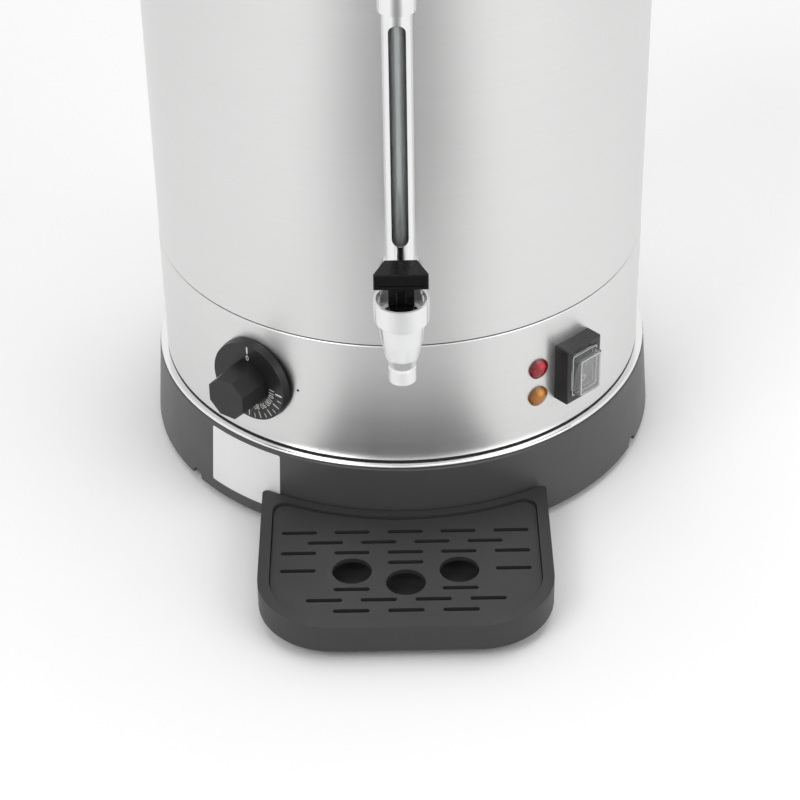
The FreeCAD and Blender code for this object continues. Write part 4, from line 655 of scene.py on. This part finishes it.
class URN_OT_clear(bpy.types.Operator):
    """Lamp lenses, the switch's clear cover and the gauge glass"""

    bl_idname = "urn.clear"
    bl_label = "Lenses and glass"

    # Where the painted highlight on each lamp lens sits, from the lens's centre
    GLINT_OUT, GLINT_UP, GLINT_RIGHT = 3.0 * MM, 3.4 * MM, 0.6 * MM

    def execute(self, context):
        colours = context.scene.urn_colours
        sizes = context.scene.urn_sizes
        out, right, up = wall_axes(math.degrees(sizes.lamp_azimuth))
        for name, slot, colour, height in (
                ("heating_red", "red_lens", tuple(colours.red), sizes.heating_height),
                ("keep_warm_amber", "amber_lens", tuple(colours.amber), sizes.warm_height)):
            centre = out * sizes.wall_radius + up * height
            # Painted highlight point above and outside the lens's centre; the lens colour at 0.35 is the
            # painted rim shade.
            painted_highlight_at = centre + out * self.GLINT_OUT + up * self.GLINT_UP + right * self.GLINT_RIGHT
            give(lamp_lens(name, shade(colour, 0.35), colour, 0.12, centre.tolist(), painted_highlight_at.tolist()),
                 *nodes_in(slot))
        give(clear_plastic("clear_cover", (0.95, 0.96, 0.96), 0.05, 0.92), *nodes_in("clear_cover"))
        give(clear_plastic("gauge_glass", (0.90, 0.92, 0.92), 0.03, 0.88), *nodes_in("gauge_glass"))
        return {"FINISHED"}


class URN_OT_blank_plate(bpy.types.Operator):
    """The white plate on the base ring, left bare"""

    bl_idname = "urn.blank_plate"
    bl_label = "Blank plate"

    def execute(self, context):
        sizes = context.scene.urn_sizes
        middle = (sizes.plate_from + sizes.plate_to) / 2
        height = (sizes.plate_low + sizes.plate_high) / 2
        slope = (sizes.base_top_radius - sizes.base_low_radius) / (sizes.base_top - sizes.base_low)
        radius = sizes.base_low_radius + slope * (height - sizes.base_low)

        def on_base(across, up, rise):
            """Cone of the base ring: the arc length gives the azimuth, the height the radius."""
            azimuth = middle + across / radius
            out = sizes.base_low_radius + slope * (height + up - sizes.base_low) + rise
            return np.stack([out * np.sin(azimuth), -out * np.cos(azimuth), height + up], axis=-1)

        half_width = (sizes.plate_to - sizes.plate_from) * radius / 2
        half_height = (sizes.plate_high - sizes.plate_low) / 2
        points, faces = plate_patch(on_base, half_width, half_height, sizes.plate_corner, sizes.plate_thick)
        film = plate_film("plate_film", tuple(context.scene.urn_colours.film))
        mesh_piece("blank_plate", points, faces, "housing", film)
        return {"FINISHED"}


class URN_OT_dial_scale(bpy.types.Operator):
    """Off mark, scale and figures on the dial, and the pointer spot beside it"""

    bl_idname = "urn.dial_scale"
    bl_label = "Dial scale"

    THICK_MARKS = (0.0, 94.0)
    LONG_MARKS = (117.0, 139.0, 161.0, 182.0, 203.0, 224.0, 245.0)
    SHORT_MARKS = (105.0, 128.0, 150.0, 171.5, 192.5, 213.5, 234.5)
    FIGURES = {"0": 0.0, "110": 97.0, "100": 121.0, "90": 143.0, "80": 163.0,
               "70": 183.0, "60": 203.0, "50": 224.0, "40": 245.0}
    MARK_IN, MARK_OUT, SHORT_IN = 20.8 * MM, 26.4 * MM, 22.8 * MM
    FIGURE_FOOT = 16.1 * MM

    def execute(self, context):
        sizes = context.scene.urn_sizes
        ink = print_ink("dial_ink", tuple(context.scene.urn_colours.ink))
        out, right, up = wall_axes(math.degrees(sizes.dial_azimuth))
        centre = out * sizes.dial_face + up * sizes.dial_height
        strokes = []
        for marks, inner, half_width in ((self.THICK_MARKS, self.MARK_IN, 0.62 * MM),
                                         (self.LONG_MARKS, self.MARK_IN, 0.4 * MM),
                                         (self.SHORT_MARKS, self.SHORT_IN, 0.3 * MM)):
            for mark in marks:
                turn = math.radians(mark)
                ray = math.sin(turn) * right + math.cos(turn) * up
                side = math.cos(turn) * right - math.sin(turn) * up
                path = centre + np.linspace(inner, self.MARK_OUT, 16)[:, None] * ray
                strokes.append(ridge(path, side, out, half_width, sizes.ink_thick))
        mesh_piece("dial_marks", *merged(strokes), "dial", ink)
        self.figures(sizes, ink, centre, out, right, up)
        spot_out, spot_right, spot_up = wall_axes(math.degrees(sizes.spot_azimuth))
        spot = spot_out * (sizes.wall_radius - 0.02 * MM) + spot_up * sizes.dial_height
        black = print_ink("pointer_ink", (0.02, 0.02, 0.02))
        mesh_piece("pointer_spot", *dome_spot(
            spot, spot_right, spot_up, spot_out, sizes.spot_radius, 0.12 * MM), "housing", black)
        return {"FINISHED"}

    def figures(self, sizes, ink, centre, out, right, up):
        """Figures stand with their heads outwards, turned with their place on the scale."""
        joined = bmesh.new()
        for words, place in self.FIGURES.items():
            turn = math.radians(place)
            ray = math.sin(turn) * right + math.cos(turn) * up
            side = math.cos(turn) * right - math.sin(turn) * up
            mesh = text_mesh(words, sizes.figure_height, sizes.ink_thick)
            foot = centre + ray * self.FIGURE_FOOT + out * (sizes.ink_thick / 2)
            axes = np.stack([side * 0.86, ray, out, foot], axis=1)
            mesh.transform(Matrix([*axes.tolist(), [0.0, 0.0, 0.0, 1.0]]))
            joined.from_mesh(mesh)
            bpy.data.meshes.remove(mesh)
        mesh = bpy.data.meshes.new("dial_figures")
        joined.to_mesh(mesh)
        joined.free()
        mesh.materials.clear()
        mesh.materials.append(ink)
        piece = bpy.data.objects.new("dial_figures", mesh)
        bpy.context.scene.collection.objects.link(piece)
        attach(piece, "dial")


class URN_OT_switch_signs(bpy.types.Operator):
    """Off and on signs moulded on the rocker"""

    bl_idname = "urn.switch_signs"
    bl_label = "Switch signs"

    SIGN_WIDE, SIGN_TALL, SIGN_LINE, SIGN_THICK = 1.7 * MM, 2.3 * MM, 0.35 * MM, 0.12 * MM

    def execute(self, context):
        sizes = context.scene.urn_sizes
        ink = print_ink("sign_ink", tuple(context.scene.urn_colours.ink))
        out, right, up = wall_axes(math.degrees(sizes.switch_azimuth))
        parts = []
        for rise, is_off in ((-6.0 * MM, True), (6.0 * MM, False)):
            centre, slope_up, slope_out = rocker_place(out, right, up, sizes, rise)
            if is_off:
                parts.append(ring_sign(centre, right, slope_up, slope_out, self.SIGN_WIDE,
                                       self.SIGN_TALL, self.SIGN_LINE, self.SIGN_THICK))
            else:
                path = centre + np.linspace(-2.4, 2.4, 16)[:, None] * MM * slope_up
                parts.append(ridge(path, right, slope_out, self.SIGN_LINE, self.SIGN_THICK))
        mesh_piece("switch_signs", *merged(parts), "rocker", ink)
        return {"FINISHED"}


def rocker_place(out, right, up, sizes, rise):
    """Finds the rocker's front surface at a height, and the surface's own directions there.

    A ray along the wall's inward direction meets the rocker's mesh above, at and below
    the height; the two outer points give the slope.
    """
    rocker = frame["nodes"]["switch_rocker"]
    found = []
    for step in (-1.0 * MM, 0.0, 1.0 * MM):
        start = out * (sizes.wall_radius + 40 * MM) + up * (sizes.switch_height + rise + step)
        hit, place, _, _ = rocker.ray_cast(start.tolist(), (-out).tolist())
        if not hit:
            raise RuntimeError("the rocker isn't where its signs go")
        found.append(np.array(place))
    slope_up = (found[2] - found[0]) / np.linalg.norm(found[2] - found[0])
    slope_out = np.cross(right, slope_up)
    return found[1] + slope_out * 0.01 * MM, slope_up, slope_out


class URN_OT_cover_highlight_beads(bpy.types.Operator):
    """Pale frosted beads round the face and the rim of the switch's clear cover: painted highlights along
    its edges
    """

    bl_idname = "urn.cover_beads"
    bl_label = "Cover beads"

    CORNER, LINE, THICK, RIM_STEP, RIM_OFF = 1.1 * MM, 0.32 * MM, 0.16 * MM, 1.0 * MM, 10.95 * MM

    def execute(self, context):
        sizes = context.scene.urn_sizes
        out, right, up = wall_axes(math.degrees(sizes.switch_azimuth))
        half_width, half_height = sizes.cover_wide / 2, sizes.cover_tall / 2
        middle = up * sizes.switch_height
        face = middle + out * (sizes.wall_radius + sizes.cover_face - 0.02 * MM)
        rim = middle + out * (sizes.wall_radius + self.RIM_OFF)
        beads = [
            frame_bead(face, right, up, out, half_width - self.LINE * 3, half_height - self.LINE * 3,
                       self.CORNER, self.LINE, self.THICK),
            frame_bead(rim, right, up, out, half_width + self.RIM_STEP, half_height + self.RIM_STEP,
                       self.CORNER, self.LINE, self.THICK)]
        # Painted highlight: a near-white frosted finish that shows as bright lines along the cover's edges.
        clear = clear_plastic("cover_highlight_bead", (0.93, 0.94, 0.94), 0.2, 0.35)
        mesh_piece("cover_highlight_beads", *merged(beads), "housing", clear)
        return {"FINISHED"}


class URN_OT_sheet_welds(bpy.types.Operator):
    """Dressed welds down the back of the shell and the band"""

    bl_idname = "urn.sheet_welds"
    bl_label = "Sheet welds"

    RUNS = ((62.0 * MM, 145.6 * MM, 160.0 * MM), (150.5 * MM, 444.0 * MM, 159.7 * MM))

    def execute(self, context):
        sizes = context.scene.urn_sizes
        out, right, up = wall_axes(math.degrees(sizes.weld_azimuth))
        beads = []
        for low, high, radius in self.RUNS:
            heights = np.linspace(low, high, 160)
            path = out * (radius - 0.03 * MM) + heights[:, None] * up
            beads.append(ridge(path, right, out, sizes.weld_width / 2, 0.1 * MM))
        seam = polished_metal("weld_seam", shade(tuple(context.scene.urn_colours.steel), 0.9), 0.3)
        mesh_piece("sheet_welds", *merged(beads), "housing", seam)
        return {"FINISHED"}


class URN_OT_stage(bpy.types.Operator):
    """Floor, soft lights, white surroundings and the camera"""

    bl_idname = "urn.stage"
    bl_label = "Studio"

    STEPS = 9
    LIGHTS = (("key_light", (-1.9, -2.2, 2.6), (0.0, 0.0, 0.2), 1.8, 38.0),
              ("fill_light", (2.4, -1.7, 1.9), (0.0, 0.0, 0.2), 2.2, 26.0),
              ("top_light", (0.2, 0.6, 3.0), (0.0, 0.0, 0.3), 2.4, 30.0))
    FLAG_HALF, FLAG_FAR, FLAG_NEAR, FLAG_LIFT = 1.0, -2.3, -0.34, 0.004
    FLAG_SPREAD, FLAG_GROWTH, FLAG_FADE = 0.30, 0.22, 4.0
    SOFT_LEVEL = 0.55

    def execute(self, context):
        scene = context.scene
        self.floor(scene)
        self.flag(scene)
        self.surroundings(scene)
        for light in self.LIGHTS:
            self.light(scene, *light)
        self.camera(scene)
        scene.view_settings.view_transform = "Standard"
        return {"FINISHED"}

    def floor(self, scene):
        """A level square under the feet, white where nothing shades it."""
        half = scene.urn_sizes.floor_side / 2
        paper = Finish("floor_paper", Metallic=0.0, Specular_IOR_Level=0.2)
        drift = paper.noise(3.0, detail=2.0)
        colour = tuple(scene.urn_colours.floor)
        paper.feed(Base_Color=paper.tint(shade(colour, 0.985), shade(colour, 1.01), drift),
                   Roughness=0.8 + drift * 0.1)
        floor = self.sheet(scene, "studio_floor", (-half, half), (-half, half), 0.0, paper.material)

    def sheet(self, scene, name, across, along, height, material):
        """A level grid between two places in X and two in Y."""
        x, y = np.meshgrid(np.linspace(*across, self.STEPS), np.linspace(*along, self.STEPS), indexing="xy")
        points = np.stack([x, y, np.full_like(x, height)], axis=-1).reshape(-1, 3)
        mesh = bpy.data.meshes.new(name)
        mesh.from_pydata(points.tolist(), [], grid_faces(self.STEPS, self.STEPS).tolist())
        mesh.materials.append(material)
        sheet = bpy.data.objects.new(name, mesh)
        scene.collection.objects.link(sheet)
        return sheet

    def flag(self, scene):
        """A low grey card before the urn that only reflections see, darkest in its middle."""
        colours = scene.urn_colours
        card = Finish("flag_card", Metallic=0.0, Specular_IOR_Level=0.1)
        spread = self.FLAG_SPREAD - card.height("Y") * self.FLAG_GROWTH
        fade = ((card.height("X").size() / spread) ** 2.0).held()
        near = ((self.FLAG_NEAR - card.height("Y")) * self.FLAG_FADE).held()
        share = 1.0 - (1.0 - fade) * near
        card.feed(Base_Color=card.tint(tuple(colours.flag), tuple(colours.floor), share),
                  Roughness=0.8 + share * 0.1)
        flag = self.sheet(scene, "studio_flag", (-self.FLAG_HALF, self.FLAG_HALF),
                          (self.FLAG_FAR, self.FLAG_NEAR), self.FLAG_LIFT, card.material)
        flag.visible_camera = False
        flag.visible_diffuse = False
        flag.visible_shadow = False
        flag.visible_transmission = False

    def surroundings(self, scene):
        """White to the camera and to gloss, and a plain soft grey to everything else."""
        world = bpy.data.worlds.new("studio")
        world.use_nodes = True
        scene.world = world
        tree = world.node_tree
        soft = tree.nodes["Background"]
        soft.inputs["Color"].default_value = (1.0, 1.0, 1.0, 1.0)
        soft.inputs["Strength"].default_value = self.SOFT_LEVEL
        white = tree.nodes.new("ShaderNodeBackground")
        white.inputs["Color"].default_value = (1.0, 1.0, 1.0, 1.0)
        white.inputs["Strength"].default_value = 1.0
        rays = tree.nodes.new("ShaderNodeLightPath")
        seen = tree.nodes.new("ShaderNodeMath")
        seen.operation = "MAXIMUM"
        tree.links.new(rays.outputs["Is Camera Ray"], seen.inputs[0])
        clear = tree.nodes.new("ShaderNodeMath")
        clear.operation = "MAXIMUM"
        tree.links.new(rays.outputs["Is Glossy Ray"], clear.inputs[0])
        tree.links.new(rays.outputs["Is Transmission Ray"], clear.inputs[1])
        tree.links.new(clear.outputs[0], seen.inputs[1])
        mix = tree.nodes.new("ShaderNodeMixShader")
        tree.links.new(seen.outputs[0], mix.inputs["Fac"])
        tree.links.new(soft.outputs[0], mix.inputs[1])
        tree.links.new(white.outputs[0], mix.inputs[2])
        tree.links.new(mix.outputs[0], tree.nodes["World Output"].inputs["Surface"])

    def light(self, scene, name, place, aim, side, watts):
        lamp = bpy.data.lights.new(name, "AREA")
        lamp.shape = "SQUARE"
        lamp.size = side
        lamp.energy = watts
        carrier = bpy.data.objects.new(name, lamp)
        turn = (Vector(place) - Vector(aim)).to_track_quat("Z", "Y")
        carrier.matrix_world = Matrix.Translation(place) @ turn.to_matrix().to_4x4()
        scene.collection.objects.link(carrier)

    def camera(self, scene):
        """Looks down at the tap, from the pitch, yaw and roll found from the picture."""
        pitch, yaw, roll = CAMERA_PITCH, CAMERA_YAW, CAMERA_ROLL
        ahead = np.array([math.sin(yaw) * math.cos(pitch), math.cos(yaw) * math.cos(pitch),
                          -math.sin(pitch)])
        level = np.array([math.cos(yaw), -math.sin(yaw), 0.0])
        below = np.cross(ahead, level)
        right = math.cos(roll) * level + math.sin(roll) * below
        down = -math.sin(roll) * level + math.cos(roll) * below
        lens = bpy.data.cameras.new("picture_camera")
        lens.sensor_width = SENSOR_MM
        lens.lens = SENSOR_MM * FOCAL_PIXELS / PICTURE_SIDE
        lens.clip_end = 60.0
        carrier = bpy.data.objects.new("picture_camera", lens)
        axes = np.stack([right, -down, -ahead, np.array(CAMERA_AT)], axis=1)
        carrier.matrix_world = Matrix([*axes.tolist(), [0.0, 0.0, 0.0, 1.0]])
        scene.collection.objects.link(carrier)
        scene.camera = carrier


OPERATORS = (URN_OT_steel, URN_OT_fittings, URN_OT_plastics, URN_OT_clear, URN_OT_blank_plate,
             URN_OT_dial_scale, URN_OT_switch_signs, URN_OT_cover_highlight_beads, URN_OT_sheet_welds,
             URN_OT_stage)


class URN_PT_panel(bpy.types.Panel):
    """Lists the urn's pieces in the sidebar"""

    bl_idname = "URN_PT_panel"
    bl_label = "Hot water urn"
    bl_space_type = "VIEW_3D"
    bl_region_type = "UI"
    bl_category = "Urn"

    def draw(self, context):
        for operator in OPERATORS:
            self.layout.operator(operator.bl_idname)
        for group in (context.scene.urn_sizes, context.scene.urn_colours):
            column = self.layout.column(align=True)
            for name in group.bl_rna.properties.keys():
                if name not in ("rna_type", "name"):
                    column.prop(group, name)


CLASSES = (UrnSizes, UrnColours, *OPERATORS, URN_PT_panel)


def register():
    for kind in CLASSES:
        bpy.utils.register_class(kind)
    bpy.types.Scene.urn_sizes = bpy.props.PointerProperty(type=UrnSizes)
    bpy.types.Scene.urn_colours = bpy.props.PointerProperty(type=UrnColours)


def unregister():
    del bpy.types.Scene.urn_colours
    del bpy.types.Scene.urn_sizes
    for kind in reversed(CLASSES):
        bpy.utils.unregister_class(kind)


def main():
    register()
    for operator in OPERATORS:
        group, name = operator.bl_idname.split(".")
        getattr(getattr(bpy.ops, group), name)()


if __name__ == "__main__":
    main()
